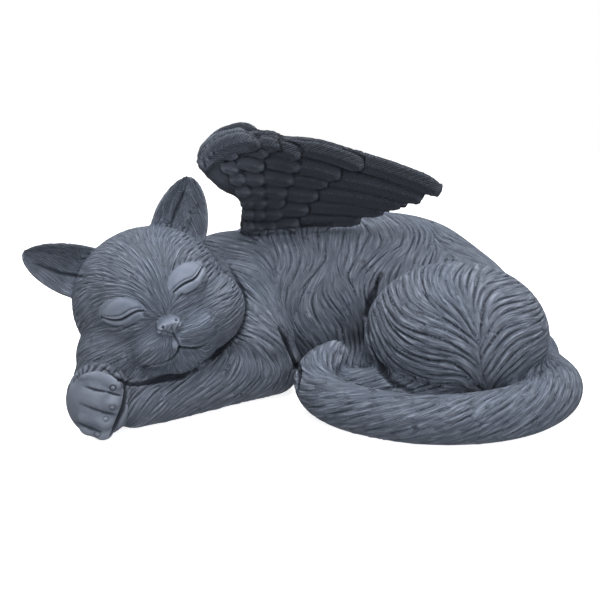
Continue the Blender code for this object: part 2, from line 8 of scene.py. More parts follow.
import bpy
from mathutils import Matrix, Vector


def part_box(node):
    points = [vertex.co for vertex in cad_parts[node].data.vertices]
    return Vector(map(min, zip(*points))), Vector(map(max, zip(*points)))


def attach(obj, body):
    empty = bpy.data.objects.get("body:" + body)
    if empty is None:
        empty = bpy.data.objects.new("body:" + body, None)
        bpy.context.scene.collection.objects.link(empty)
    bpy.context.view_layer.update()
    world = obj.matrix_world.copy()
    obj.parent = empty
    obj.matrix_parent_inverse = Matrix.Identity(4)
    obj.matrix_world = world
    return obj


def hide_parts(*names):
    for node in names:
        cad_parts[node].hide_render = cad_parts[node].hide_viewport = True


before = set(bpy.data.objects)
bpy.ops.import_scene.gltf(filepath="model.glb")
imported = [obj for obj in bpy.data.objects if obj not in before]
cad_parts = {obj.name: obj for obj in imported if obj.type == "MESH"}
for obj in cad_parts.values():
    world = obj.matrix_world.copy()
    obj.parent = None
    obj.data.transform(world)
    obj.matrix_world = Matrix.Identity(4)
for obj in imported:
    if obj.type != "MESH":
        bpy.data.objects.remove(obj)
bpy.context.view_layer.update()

import math

import bmesh
import bpy
import numpy as np
from mathutils import Matrix, Vector
from mathutils.bvhtree import BVHTree
from mathutils.kdtree import KDTree

for loaded in bpy.context.selected_objects:
    loaded.select_set(False)

# The figure is laid out in units of a millimetre, before it is centred over the origin.
FIGURE_LENGTH = 0.336
UNITS_IN_LENGTH = 336.0
FEATHER_THICKNESS = 0.0034
LINE_POINTS = 15
UNIT = FIGURE_LENGTH / UNITS_IN_LENGTH
UP = Vector((0.0, 0.0, 1.0))

# Cells that the clay is fused on, and the rounds of smoothing after each, in units.
MASS_CELL, MASS_ROUNDS = 3.0, 5
LIMB_CELL, LIMB_ROUNDS = 1.9, 3
FINE_ROUNDS = 1

# The trunk from the chest to the rump: x, y, z, half width and half height of each section.
TRUNK = (
    (-72, 8, 40, 30, 36),
    (-55, 26, 48, 40, 50),
    (-36, 38, 48, 45, 53),
    (-8, 48, 49, 48, 57),
    (30, 54, 51, 50, 59),
    (62, 52, 51, 50, 60),
    (88, 46, 48, 48, 56),
    (108, 37, 43, 43, 45),
    (124, 27, 34, 37, 37),
    (138, 16, 26, 29, 28),
    (148, 6, 20, 22, 22),
)
NEAR_HAUNCH = ((96, -22, 42), (57, 50, 46))
NEAR_HIP = ((116, -8, 38), (35, 46, 43))
FAR_HAUNCH = ((88, 72, 36), (52, 34, 40))
NEAR_SHOULDER = ((-38, 10, 56), (27, 25, 34))
NEAR_ELBOW = ((-32, -9, 36), (27, 23, 30))
NECK = ((-74, -6, 62), (34, 30, 34))
# The filling between the limbs, down to the flat underside.
UNDER_HEAD = ((-86, -26, 16), (30, 32, 26))
UNDER_BELLY = ((58, -4, 8), (46, 44, 20))

# The swelling of the back that each wing stands on: x, y, z, half width and half height.
WING_BED = (
    (-38, 26, 90, 9, 11),
    (-14, 30, 93, 9, 11),
    (14, 34, 95, 8, 10),
)

# Limbs and tail: x, y, z, half width and half height of each section.
TAIL = (
    (146, 6, 18, 20, 19),
    (153, -14, 15.5, 18, 16),
    (154, -36, 15, 17, 15.5),
    (146, -57, 14.5, 16, 15),
    (129, -76, 14, 15, 15),
    (109, -88, 13.5, 14.5, 14.5),
    (88, -93, 13, 14, 14),
    (64, -92, 12.5, 13.5, 13.5),
    (43, -83, 12.5, 13.5, 13.5),
    (26, -71.5, 13, 13.5, 13.5),
    (14, -57.5, 15, 13.5, 13.5),
    (9, -46, 20, 13, 13),
    (13, -35, 26, 12, 12),
    (21, -28, 31, 9.5, 9.5),
)
HIND_FOOT = (
    (86, -52, 14, 14, 14),
    (62, -48, 14, 13, 14),
    (38, -40, 13, 12, 13),
    (24, -33, 12, 11, 12),
)
NEAR_UPPER_ARM = (
    (-36, 8, 66, 20, 20),
    (-26, -2, 44, 21, 21),
    (-22, -6, 24, 20, 20),
)
NEAR_FOREARM = (
    (-18, -6, 19, 19, 20),
    (-38, -21, 18, 18, 19),
    (-58, -38, 17, 17.5, 18),
    (-78, -55.5, 17, 16.5, 18),
    (-94, -70, 16, 15, 16),
)
FAR_FOREARM = (
    (-100, 4, 26, 18, 20),
    (-114, -24, 24, 17, 19),
    (-118, -50, 22, 15, 18),
    (-113, -72, 22, 14, 18),
)
PAW = ((-110.5, -82, 20.5), (18.5, 15.4, 21.0))
# The four toes are stacked on edge, claw ends to the right: the middle of each end.
TOE_ENDS = ((-101.5, -88, 32), (-102.5, -91, 22.3), (-106, -92, 12.8), (-107.5, -90, 6.0))
TOE_ROOT_STEP = (-13, 1, 4)
TOE_HALF = 6.0

# The head: its centre, and how it is turned, in degrees about X, Y and Z.
HEAD_CENTRE = (-87, -35, 63.5)
HEAD_PITCH, HEAD_ROLL, HEAD_YAW = -12.0, -24.0, 15.5
# Forms in the head's own frame: right, forward and up, then the half sizes along them.
HEAD_FORMS = (
    ((0, -4, 5.5), (46, 42, 42.5)),
    ((-26, 4, -16), (30.5, 27, 26)),
    ((22, 5, -15), (28, 27, 25)),
    ((0, 12, 4), (36, 31, 36)),
    ((0, 10, -22), (32, 29, 22)),
    ((-10, 29, -20), (17, 14, 12.5)),
    ((8, 29, -21), (17, 14, 12.5)),
    ((0, 24, -32), (17, 13, 10)),
    ((0, 28, -2), (11, 15, 24)),
)
NOSE = (
    ((-1.9, 40.2, -13.2), (7.6, 5.0, 4.8)),
    ((-1.4, 40.5, -15.2), (3.4, 4.2, 3.8)),
)
LIDS = (((-18.5, 32.6, 6.5), -30.0), ((19.5, 32.6, 5.0), 30.0))
LID_HALF = (14.0, 7.0, 10.5)
# Each ear's inner and outer base corner and its tip, as right and up in the head's frame.
EARS = (((20, 44), (49, 25), (56, 61)), ((-14, 45), (-42, 27), (-53, 62)))
EAR_HALF_DEPTH = 10.0
# How far an ear reaches past its tip, beside its middle line and in depth.
EAR_TIP_REACH, EAR_SIDE_REACH, EAR_DEPTH_REACH = 1.2, 20.0, 16.0
# How far outside the head's forms its skin may lie, as a share of their size.
HEAD_MARGIN = 0.07

# The wing is laid out on its own plane, as x and z; y follows from the plane's lean and sweep.
WING_ROOT = (-34.0, 27.0, 98.0)
WING_LEAN = math.radians(21)
WING_SWEEP = 0.03
WING_ARM = (
    (-32, 86, 8.5),
    (-31.5, 106, 8),
    (-30.5, 121, 7.5),
    (-37, 135, 8),
    (-49, 143, 9),
    (-56, 153, 8.5),
    (-50, 162, 7),
    (-38, 167, 5.5),
)
# Feathers point down by this many degrees at the wrist and up by this many at the root.
WRIST_ANGLE, ROOT_ANGLE = -13.0, 4.0
# Rows of feathers: count, length at the wrist and at the root, half width, height above the plane,
# and the line that their tips reach, from the wrist down.
FEATHER_ROWS = (
    (6, 128, 56, 6.6, 0.0, ((91, 130), (79, 125), (66, 121), (55, 117), (40, 111), (22, 108.5))),
    (6, 62, 36, 6.0, 2.0, ((40, 148), (26, 142), (18, 137), (12, 128.5), (6, 119), (0, 108.5))),
    (7, 36, 21, 5.4, 3.8, ((1, 156), (0, 148), (-4, 139), (-8, 131), (-9, 125), (-11, 117), (-15, 108))),
    (7, 22, 12, 5.0, 5.4,
     ((-19, 158), (-22, 149), (-22, 140), (-22, 132), (-21, 125), (-22, 117), (-24, 108))),
    (7, 12, 8, 4.6, 6.8,
     ((-38, 157), (-38, 148), (-34, 141), (-31, 133), (-29, 126), (-29, 118), (-29, 109))),
)
TOP_BULGE = 8.5
# A feather's section: places across its half width, and the skin's height there in thicknesses.
# The lower edge lies over the next feather's upper edge.
FEATHER_SECTION = ((-1, 0.95), (-0.6, 0.95), (-0.14, 0.92), (0, 1.08), (0.14, 0.86), (0.6, 0.62), (1, 0.3))
# A feather is round over this many half widths from its tip, and at most over this share of it.
TIP_ROUND, MOST_ROUND = 1.3, 0.55
# The feathers that wrap the wrist: start, bend and end, half width, and height above the plane.
WRIST_FEATHERS = (
    ((-54, 151), (-38, 166), (-12, 164), 5.5, 4.6),
    ((-61, 148), (-50, 165), (-24, 166), 5.5, 6.4),
    ((-61, 151), (-52, 167), (-28, 168.5), 6.5, 7.2),
)
FAR_WING_TURN = 5.0
FAR_WING_DROP = 7.0
SPINE_AT_WINGS = (-34.0, 41.0)

FINE_CELL = 0.82
SPINE_SIDE = 40.0
NOSE_BRIDGE = (0, 44, -2)
WING_REACH, WING_START = 11.0, 7.0

# The photograph's camera, in units: its height, its distance from the figure's middle plane, its
# focal length in pixels, its tilt downwards, and the picture's middle and side.
EYE_HEIGHT = 165.0
EYE_DISTANCE = 520.0
FOCAL_PIXELS = 830.0
EYE_TILT = math.radians(11.44)
PICTURE_MIDDLE = 300.0
PICTURE_SIDE = 600
SENSOR_WIDTH = 36.0

# How the fur lies, as strokes in the picture's pixels that each run from root to tip.
HEAD_STROKES = (
    ((152, 304), (138, 285), (118, 274)),
    ((146, 299), (125, 287), (98, 283)),
    ((138, 294), (118, 290), (96, 294)),
    ((100, 300), (90, 306), (82, 314)),
    ((118, 276), (100, 268), (92, 268)),
    ((158, 292), (148, 270), (132, 250)),
    ((165, 288), (161, 266), (154, 244)),
    ((170, 264), (176, 250), (186, 240)),
    ((198, 258), (210, 250), (222, 246)),
    ((136, 334), (116, 345), (97, 354)),
    ((118, 332), (106, 333), (94, 337)),
    ((126, 352), (112, 360), (100, 364)),
    ((165, 336), (157, 344), (146, 352)),
    ((158, 350), (147, 358), (134, 366)),
    ((150, 369), (146, 373), (143, 378)),
    ((184, 353), (186, 359), (190, 364)),
    ((182, 330), (192, 325), (204, 317)),
    ((183, 338), (195, 337), (208, 332)),
    ((188, 312), (200, 304), (212, 297)),
    ((204, 311), (216, 304), (228, 299)),
    ((205, 290), (215, 280), (224, 268)),
    ((216, 324), (228, 317), (238, 307)),
)
EAR_STROKES = (
    ((38, 266), (50, 276), (64, 288)),
    ((50, 263), (63, 273), (74, 284)),
    ((66, 262), (76, 268), (84, 276)),
    ((34, 252), (60, 250), (92, 253)),
    ((186, 192), (195, 204), (203, 222)),
    ((182, 204), (190, 216), (197, 230)),
    ((183, 190), (177, 206), (172, 224)),
    ((176, 186), (166, 200), (158, 218)),
)
SHOULDER_STROKES = (
    ((236, 246), (258, 252), (272, 268)),
    ((242, 262), (260, 268), (274, 286)),
    ((250, 284), (264, 298), (278, 318)),
    ((248, 308), (264, 322), (282, 336)),
    ((244, 332), (262, 338), (280, 350)),
    ((278, 350), (287, 364), (280, 386)),
)
ARM_STROKES = (
    ((172, 382), (154, 398), (140, 416)),
    ((200, 376), (180, 394), (160, 414)),
    ((232, 360), (220, 382), (190, 402), (172, 416)),
    ((250, 352), (256, 372), (240, 390), (212, 406)),
    ((268, 352), (279, 370), (272, 384), (252, 398)),
    ((144, 390), (132, 402), (126, 416)),
    ((190, 368), (172, 380), (156, 390)),
    ((212, 360), (196, 376), (180, 388)),
)
BELLY_STROKES = (
    ((276, 244), (281, 262), (276, 284)),
    ((290, 246), (295, 262), (286, 284)),
    ((305, 244), (310, 262), (298, 284)),
    ((286, 290), (286, 312), (300, 338)),
    ((300, 286), (292, 303), (298, 326), (310, 340)),
    ((325, 244), (324, 262), (306, 284)),
    ((322, 282), (308, 296), (309, 314), (322, 334)),
    ((330, 272), (322, 290), (332, 308), (346, 324)),
    ((340, 244), (336, 262), (342, 276), (356, 296)),
    ((342, 290), (352, 304), (358, 326)),
    ((352, 244), (351, 258), (344, 272)),
    ((370, 240), (362, 256), (352, 272)),
    ((382, 256), (364, 272), (356, 294)),
    ((345, 332), (347, 348), (345, 362)),
    ((360, 326), (362, 346), (360, 364)),
    ((345, 370), (358, 378), (360, 392)),
    ((380, 374), (392, 384), (396, 395)),
)
HAUNCH_STROKES = (
    ((398, 246), (388, 252), (376, 264)),
    ((396, 256), (384, 276), (385, 298), (398, 320), (424, 331), (452, 336), (472, 350)),
    ((408, 256), (400, 276), (403, 296), (417, 312), (446, 321), (471, 338)),
    ((425, 255), (418, 275), (425, 296), (441, 314), (458, 326)),
    ((445, 257), (436, 275), (440, 293), (453, 306), (466, 320)),
    ((464, 262), (454, 274), (453, 288), (463, 306), (472, 326)),
    ((377, 300), (384, 326), (401, 347), (430, 358), (456, 361), (474, 378)),
    ((375, 330), (385, 353), (403, 369), (430, 379), (460, 379), (477, 392)),
    ((384, 362), (400, 382), (420, 392), (446, 396), (470, 398)),
)
RUMP_STROKES = (
    ((368, 216), (380, 226), (387, 240)),
    ((395, 220), (405, 229), (403, 242)),
    ((420, 224), (428, 234), (424, 246)),
    ((440, 241), (460, 249), (482, 258)),
    ((455, 238), (476, 249), (493, 263)),
    ((505, 272), (486, 272), (473, 282)),
    ((479, 276), (474, 300), (478, 328)),
    ((508, 284), (489, 290), (480, 308)),
    ((521, 300), (499, 306), (484, 326)),
    ((528, 318), (502, 326), (485, 347)),
    ((537, 334), (512, 346), (491, 372)),
    ((549, 350), (526, 366), (506, 390)),
    ((562, 370), (541, 381), (520, 389)),
)
ALL_STROKES = (
    HEAD_STROKES,
    EAR_STROKES,
    SHOULDER_STROKES,
    ARM_STROKES,
    BELLY_STROKES,
    HAUNCH_STROKES,
    RUMP_STROKES,
)
# A stroke's stretch longer than this jumps from one form to another and isn't used.
LONGEST_STRETCH = 14.0
# How far round itself a stroke sets the lie, and how far from all of them the general lie takes over.
STROKE_REACH = 3.0
GENERAL_REACH = 26.0
# How many points are worked out at once.
AT_ONCE = 20000
# How far the fur slants across each limb, from lying straight along it.
LIMB_SLANTS = (
    (TAIL, 0.42),
    (HIND_FOOT, 0.3),
    (FAR_FOREARM, 0.2),
)

# The fur's cuts, region by region: spacing, length and depth, in units.
FUR_OF_BODY = (3.3, 26.0, 0.95)
FUR_OF_HAUNCH = (3.5, 34.0, 1.15)
FUR_OF_TAIL = (3.0, 18.0, 0.85)
FUR_OF_ARM = (2.8, 22.0, 0.75)
FUR_OF_HEAD = (2.1, 11.0, 0.42)
FUR_OF_RUFF = (2.3, 12.0, 0.75)
FUR_OF_MUZZLE = (1.9, 8.0, 0.25)
FUR_OF_EAR = (2.1, 12.0, 0.2)
FUR_OF_BACK = (4.4, 30.0, 1.1)
# Where the muzzle and the back are.
MUZZLE = ((-1, 34, -24), (27, 20, 17))
BACK_FROM = 44.0
# Where the ruff starts on the head's far side, and the width that it comes in over.
RUFF_FROM, RUFF_WIDTH = 24.0, 12.0
# Each cut's half width as a share of the spacing, and how much widths, depths and lengths vary.
CUT_WIDTH = 0.31
WIDTHS, DEPTHS, LENGTHS = (0.75, 1.2), (0.6, 1.5), (0.75, 1.15)
# Cuts that lie beside one another start at least this share of their length apart.
LENGTHS_APART = 0.72
SEED_CELL = 16.0
MOST_TRIES = 90000

# Fine hair, drawn by the material: its pitch as a share of the cuts' spacing, and the length of its
# waves. It is laid out in patches that stand this far apart.
HAIR_SHARE = 0.62
HAIR_LENGTH = 24.0
HAIR_PATCH = 16.0
# Three sets of patches, each laid mainly where the ones before have borders this near.
HAIR_SETS = ("hair_a", "hair_b", "hair_c")
HAIR_TRIES = 9000
HAIR_BORDER = 4.0
# How far inside its border a patch counts fully, and how fast it gives way to another set there.
HAIR_FADE, HAIR_FADE_POWER = 6.0, 4
LEAST_DEPTH = 0.05
# Where no set is this far inside a patch the hair stops, and it is whole this much further in.
HAIR_STOPS, HAIR_WHOLE = 1.0, 1.5
# Patches are told apart a little under the skin, so that none reaches across a thin gap.
HAIR_SINK, HAIR_SINK_OF_EARS = 4.0, 1.0
# Each patch has its own row of the noise.
HAIR_ROW_STEP, HAIR_ROWS = 1.7, 97.0

# How much painted shade the ears take, how much darker the paw is, and the wings' painted shade,
# from the wrist outwards.
PAINTED_SHADE_OF_EARS = 0.44
DARKENING_OF_PAW = 0.3
PAINTED_SHADE_OF_WINGS = (0.66, 0.92)
# The wrist's middle on the wing's plane, and the distances from it that the wings' painted shade deepens
# between.
WRIST = (-48.0, 158.0)
WRIST_REACH = (10.0, 36.0)

# The face, in the picture's pixels.
LEFT_EYE_SLIT = (
    (102, 317.5), (107, 319.5), (114, 320.8), (121, 320), (127, 317), (133, 313.5), (138, 311.3), (142, 311)
)
LEFT_LID_EDGE = (
    (102, 315.6), (110, 316.3), (117, 315.8), (122, 314), (127, 311), (131, 309), (136, 307.8), (140, 307.6)
)
LEFT_LID_FOLD = (
    (103, 309), (108, 302.5), (114, 298.3), (121, 296.6), (129, 297.6), (136, 300.4), (141, 304.2)
)
LEFT_POUCH = ((106, 324.5), (112, 327.2), (119, 328), (126, 327), (132, 323.8), (138, 318.6))
RIGHT_EYE_SLIT = (
    (174.5, 291.5), (179, 287.5), (184, 284), (189, 281.5), (194, 279.3), (197.5, 276), (200.5, 271.5),
    (202.5, 267.5),
)
RIGHT_LID_EDGE = (
    (171, 291), (175, 286.5), (180, 282.5), (185, 279.5), (190, 278), (194, 275), (197, 271), (200, 266.5)
)
RIGHT_LID_FOLD = ((168, 284), (167.6, 277), (170, 271), (175, 265.5), (182, 261), (190, 259.3), (197, 261.5))
RIGHT_POUCH = ((179, 294.5), (186, 295.8), (193, 293.3), (199, 288), (203, 281), (205.5, 274))
NOSE_SPLIT = ((171, 324.5), (172, 329), (173.3, 333.8))
PHILTRUM = ((173.3, 334), (176, 338.5), (178.6, 343.5), (179.6, 348.5))
LEFT_SMILE = (
    (179.8, 348.5), (177.3, 353.6), (173, 358.4), (168, 361.6), (162, 364), (155, 365.4), (149, 366.2),
    (144, 367.6),
)
RIGHT_SMILE = (
    (179.8, 348.4), (186, 348.8), (193, 348.9), (200, 347.8), (206, 345), (211, 340.5), (216, 334.5)
)
LEFT_NOSTRIL = ((161.6, 327.2), (163.2, 326.9))
RIGHT_NOSTRIL = ((176.1, 319.9), (177.3, 319.3))
NOSE_EDGE = ((156, 323.5), (155.8, 328.6), (158.5, 330.8), (164, 331.4), (171.5, 334.4))
NOSE_SIDE = ((173.6, 334.2), (176.5, 329.5), (179.5, 323.5), (181.3, 318.5))
# Each line of the face with its cut's half width and depth.
FACE_LINES = (
    (LEFT_LID_FOLD, 2.4, 0.5),
    (LEFT_POUCH, 2.4, 0.5),
    (LEFT_EYE_SLIT, 1.05, 1.8),
    (LEFT_LID_EDGE, 0.65, 0.5),
    (RIGHT_LID_FOLD, 2.4, 0.5),
    (RIGHT_POUCH, 2.4, 0.5),
    (RIGHT_EYE_SLIT, 1.05, 1.8),
    (RIGHT_LID_EDGE, 0.65, 0.5),
    (NOSE_SPLIT, 0.8, 0.6),
    (NOSE_EDGE, 0.9, 0.6),
    (NOSE_SIDE, 0.8, 0.5),
    (PHILTRUM, 1.1, 0.8),
    (LEFT_SMILE, 1.5, 2.4),
    (RIGHT_SMILE, 1.4, 2.0),
    (LEFT_NOSTRIL, 1.25, 1.5),
    (RIGHT_NOSTRIL, 1.25, 1.5),
)

# Deep creases, in the picture's pixels.
UNDER_JAW = (
    (106, 368), (114, 374), (124, 380.5), (136, 383), (160, 379), (184, 375), (201, 364.5), (217, 353),
    (230, 341),
)
BEHIND_RUFF = ((217, 353), (230, 342), (240, 331), (245.5, 315), (245, 300), (239, 283), (230, 266))
BEFORE_HAUNCH = (
    (381, 276), (373, 292), (367, 312), (367, 332), (371, 350), (381, 368), (393, 382), (410, 391)
)
BEHIND_ELBOW = ((281, 330), (291, 350), (298, 370), (297, 390))
BESIDE_TOES = ((121, 374), (126.5, 386), (125, 404), (119, 420), (112, 434))
# Each crease with its cut's half width and depth.
CREASES = (
    (UNDER_JAW, 2.6, 2.6),
    (BEHIND_RUFF, 2.2, 2.0),
    (BEFORE_HAUNCH, 3.4, 2.4),
    (BEHIND_ELBOW, 3.4, 3.0),
    (BESIDE_TOES, 2.6, 2.6),
)

# Bare ovals of the head, in the picture's pixels: middle, half sizes and turn in degrees.
BARE_OVALS = (
    ((121.5, 311.0), (23.0, 14.5), 4.0),
    ((186.5, 277.5), (21.5, 14.0), 34.0),
    ((168.0, 324.0), (13.5, 9.5), 18.0),
    ((176.5, 341.0), (4.5, 8.0), -10.0),
)
# They are only in front of this depth in the head's frame.
FACE_DEPTH = 12.0
# The toes' bare front, and the place behind which it ends.
BARE_TOES = ((96, 409), (32, 38), 0.0)
TOES_BEHIND = -74.0
# The spine's half width between the wings, which has fur, and the bare edge over the ground.
SPINE_HALF = 9.0
BASE_RISE = 1.5

# The line down each ear's hollow, in the picture's pixels.
EAR_HOLLOWS = (
    ((184, 192), (180, 202), (175, 214), (171, 227)),
    ((34, 263), (48, 268), (62, 273), (84, 277)),
)
HOLLOW_CUT = (1.8, 1.6)

# No cut is wider than this. Skin pressed in before by up to SUNK_BEFORE still counts as on a line.
WIDEST_CUT = 4.0
SUNK_BEFORE = 1.5

# Feathers: the cuts round their edges and along their barbs, how far apart the cut barbs are, where
# they start, how they slant, and how many fine barbs are drawn for each cut one. A path shows where
# it is this near the open skin.
EDGE_CUT = (0.95, 1.1)
BARB_CUT = (0.7, 0.3)
BARB_SPACING = 4.2
BARB_START = 0.08
BARB_ANGLE = math.radians(32)
BARB_WAVES = 2
EXPOSED_WITHIN = 1.15

# The paw, in the picture's pixels: the lines between its toes, and each claw's middle.
TOE_LINES = (
    ((81, 404), (92, 408.5), (104, 412.5), (117, 415)),
    ((76, 422.5), (88, 427.5), (104, 433)),
    ((106, 391.5), (113, 393.4), (121, 395.6)),
    ((84, 386), (96, 390), (108, 392)),
)
TOE_CUT = (1.0, 1.1)
CLAWS = ((113, 388), (112.6, 407.5), (106, 419), (97, 434.6))
CLAW_HALF = (3.1, 2.5)
CLAW_CUT = (0.6, 0.7)

# The triangles that are left on the side that the picture doesn't show, on the face, and in all.
TRIANGLES_BEHIND = 36000
TRIANGLES_OF_FACE = 62000
TRIANGLES = 194000
FACE_REACH = ((0, 24, -8), (46, 34, 42))


def at(point):
    """A point counted in units, in metres."""
    return Vector(point) * UNIT


def spline(rows, steps):
    """A smooth curve through rows of numbers, with this many steps between neighbours."""
    rows = np.array(rows, float)
    ends = np.vstack([2 * rows[0] - rows[1], rows, 2 * rows[-1] - rows[-2]])
    out = []
    for a, b, c, d in zip(ends, ends[1:], ends[2:], ends[3:]):
        for t in np.arange(steps) / steps:
            square = (2 * a - 5 * b + 4 * c - d) * t**2
            cube = (3 * b - a - 3 * c + d) * t**3
            out.append(0.5 * (2 * b + (c - a) * t + square + cube))
    return np.array(out + [rows[-1]])


def add_ball(clay, centre, half, turn=Matrix.Identity(4)):
    size = Matrix.Diagonal((half[0] * UNIT, half[1] * UNIT, half[2] * UNIT, 1.0))
    bmesh.ops.create_uvsphere(
        clay, u_segments=32, v_segments=20, radius=1.0, matrix=Matrix.Translation(at(centre)) @ turn @ size
    )


def add_rings(clay, rings):
    """A closed body through rings of points that are counted in units."""
    loops = [[clay.verts.new(at(point)) for point in ring] for ring in rings]
    sides = len(loops[0])
    for low, high in zip(loops, loops[1:]):
        for i in range(sides):
            j = (i + 1) % sides
            clay.faces.new((low[i], low[j], high[j], high[i]))
    clay.faces.new(loops[0][::-1])
    clay.faces.new(loops[-1])


def add_tube(clay, rows, sides=24, steps=6):
    """A limb: oval sections along a curve, with a ball at each end."""
    path = spline(rows, steps)
    along = np.gradient(path[:, :3], axis=0)
    rings = []
    for (x, y, z, wide, tall), heading in zip(path, along):
        side = Vector(heading).cross(UP).normalized()
        over = side.cross(Vector(heading)).normalized()
        turn = np.linspace(0, 2 * math.pi, sides, endpoint=False)
        middle = Vector((x, y, z))
        rings.append([middle + side * (wide * math.cos(a)) + over * (tall * math.sin(a)) for a in turn])
    add_rings(clay, rings)
    for x, y, z, wide, tall in (rows[0], rows[-1]):
        add_ball(clay, (x, y, z), (wide, wide, tall))


def head_turn():
    yaw = Matrix.Rotation(math.radians(HEAD_YAW), 4, "Z")
    pitch = Matrix.Rotation(math.radians(HEAD_PITCH), 4, "X")
    roll = Matrix.Rotation(math.radians(HEAD_ROLL), 4, "Y")
    return yaw @ pitch @ roll


def in_head(right, forward, up):
    """A point of the head's own frame, in the figure's units."""
    return Vector(HEAD_CENTRE) + head_turn() @ Vector((right, -forward, up))


def from_head(points):
    """Points in the head's own frame: right, back and up."""
    return (points - np.array(HEAD_CENTRE)) @ np.array(head_turn().to_3x3())


def add_head(clay):
    for centre, half in HEAD_FORMS:
        add_ball(clay, in_head(*centre), half, head_turn())


def add_face(clay):
    for centre, half in NOSE:
        add_ball(clay, in_head(*centre), half, head_turn())
    for centre, turn in LIDS:
        add_ball(clay, in_head(*centre), LID_HALF, head_turn() @ Matrix.Rotation(math.radians(turn), 4, "Z"))


def add_toes(clay):
    step = Vector(TOE_ROOT_STEP)
    for number, end in enumerate(TOE_ENDS):
        end = Vector(end)
        root = end + step * (1.0 - 0.15 * number)
        rows = []
        for share, swell in ((0.0, 0.95), (0.5, 0.9), (1.0, 1.0)):
            rows.append((*root.lerp(end, share), TOE_HALF, TOE_HALF * swell))
        add_tube(clay, rows, sides=16, steps=4)


def wing_point(x, z, out=0.0):
    """A point of the wing's plane, out units to the viewer's side of it."""
    across = WING_ROOT[1] + WING_SWEEP * (x - WING_ROOT[0])
    rise = z - WING_ROOT[2]
    y = across - rise * math.sin(WING_LEAN) - out * math.cos(WING_LEAN)
    return Vector((x, y, WING_ROOT[2] + rise * math.cos(WING_LEAN) - out * math.sin(WING_LEAN)))


def curve_at(rows, share):
    """The point at this share of a smooth curve's count of rows."""
    path = spline(rows, 8)
    place = share * (len(path) - 1)
    low = min(int(place), len(path) - 2)
    return path[low] + (path[low + 1] - path[low]) * (place - low)


def add_feather(clay, start, bend, end, half, out, side):
    """A feather: a thin closed blade along a bent line, round at its tip, with a raised shaft."""
    thick = FEATHER_THICKNESS / UNIT
    stations = 12
    rings = []
    for number in range(stations + 1):
        share = number / stations
        middle, heading = feather_at(start, bend, end, share)
        across = np.array((-heading[1], heading[0]))
        wide = feather_width(half, share, np.linalg.norm(end - start))
        top = []
        for c, rise in FEATHER_SECTION:
            x, z = middle + across * wide * c
            top.append(wing_point(x, z, side * (out + thick * rise)))
        under = []
        for c in (1, 0, -1):
            x, z = middle + across * wide * c
            under.append(wing_point(x, z, side * (out - 0.4 * thick)))
        rings.append(top + under)
    add_rings(clay, rings)


def feather_lines():
    """The start, bend and end of each feather, with its half width and height above the plane."""
    for count, wrist_length, root_length, half, out, tips in FEATHER_ROWS:
        for number in range(count):
            share = number / (count - 1)
            end = curve_at(tips, share)
            angle = math.radians(WRIST_ANGLE + (ROOT_ANGLE - WRIST_ANGLE) * share)
            length = wrist_length + (root_length - wrist_length) * share**0.8
            start = end - length * np.array((math.cos(angle), math.sin(angle)))
            rise = TOP_BULGE * length / FEATHER_ROWS[0][1] * (1 - share)
            yield start, (start + end) / 2 + np.array((0.0, 2 * rise)), end, half, out
    for start, bend, end, half, out in WRIST_FEATHERS:
        yield np.array(start), np.array(bend), np.array(end), half, out


def make_wing():
    """One wing, fused: its arm, and rows of feathers on both faces."""
    clay = bmesh.new()
    for x, z, r in spline(WING_ARM, 3):
        add_ball(clay, wing_point(x, z), (r, 0.8 * r, r))
    for side in (1, -1):
        for start, bend, end, half, out in feather_lines():
            add_feather(clay, start, bend, end, half, out, side)
    return fused("wing", clay, FINE_CELL, 0)


def fused(name, clay, cell, rounds):
    """The clay's overlapping bodies made one skin, smoothed, with no hollow left inside."""
    bmesh.ops.recalc_face_normals(clay, faces=clay.faces)
    mesh = bpy.data.meshes.new(name)
    clay.to_mesh(mesh)
    clay.free()
    obj = bpy.data.objects.new(name, mesh)
    bpy.context.scene.collection.objects.link(obj)
    remesh = obj.modifiers.new("fuse", "REMESH")
    remesh.mode = "VOXEL"
    remesh.voxel_size = cell * UNIT
    smooth = obj.modifiers.new("smooth", "SMOOTH")
    smooth.factor = 0.5
    smooth.iterations = rounds
    smooth.show_viewport = smooth.show_render = rounds > 0
    whole = evaluated(obj)
    bpy.data.objects.remove(obj)
    return outer_skin(whole)


def evaluated(obj):
    graph = bpy.context.evaluated_depsgraph_get()
    return bpy.data.meshes.new_from_object(obj.evaluated_get(graph))


def outer_skin(mesh):
    """The mesh without the closed hollows that fusing leaves inside it."""
    clay = bmesh.new()
    clay.from_mesh(mesh)
    left = set(clay.verts)
    islands = []
    while left:
        island = []
        edge = [left.pop()]
        while edge:
            vert = edge.pop()
            island.append(vert)
            for link in vert.link_edges:
                other = link.other_vert(vert)
                if other in left:
                    left.remove(other)
                    edge.append(other)
        islands.append(island)
    islands.sort(key=len)
    for island in islands[:-1]:
        bmesh.ops.delete(clay, geom=island, context="VERTS")
    clay.to_mesh(mesh)
    clay.free()
    return mesh


def points_of(mesh):
    """The mesh's points, counted in units."""
    flat = np.empty(len(mesh.vertices) * 3, np.float32)
    mesh.vertices.foreach_get("co", flat)
    return flat.reshape(-1, 3).astype(float) / UNIT


def normals_of(mesh):
    flat = np.empty(len(mesh.vertices) * 3, np.float32)
    mesh.vertex_normals.foreach_get("vector", flat)
    return flat.reshape(-1, 3).astype(float)


def set_points(mesh, points):
    mesh.vertices.foreach_set("co", (points * UNIT).astype(np.float32).ravel())
    mesh.update()


def unit_rows(rows):
    return rows / np.maximum(np.linalg.norm(rows, axis=1, keepdims=True), 1e-9)


def ball_nearness(points, centre, half, turn=None):
    """1 inside an oval form, falling to 0 a little way outside it."""
    local = points - np.array(centre)
    if turn is not None:
        local = local @ np.array(turn.to_3x3())
    reach = np.linalg.norm(local / np.array(half), axis=1)
    return np.clip(1 - (reach - 1.0) / 0.35, 0, 1)


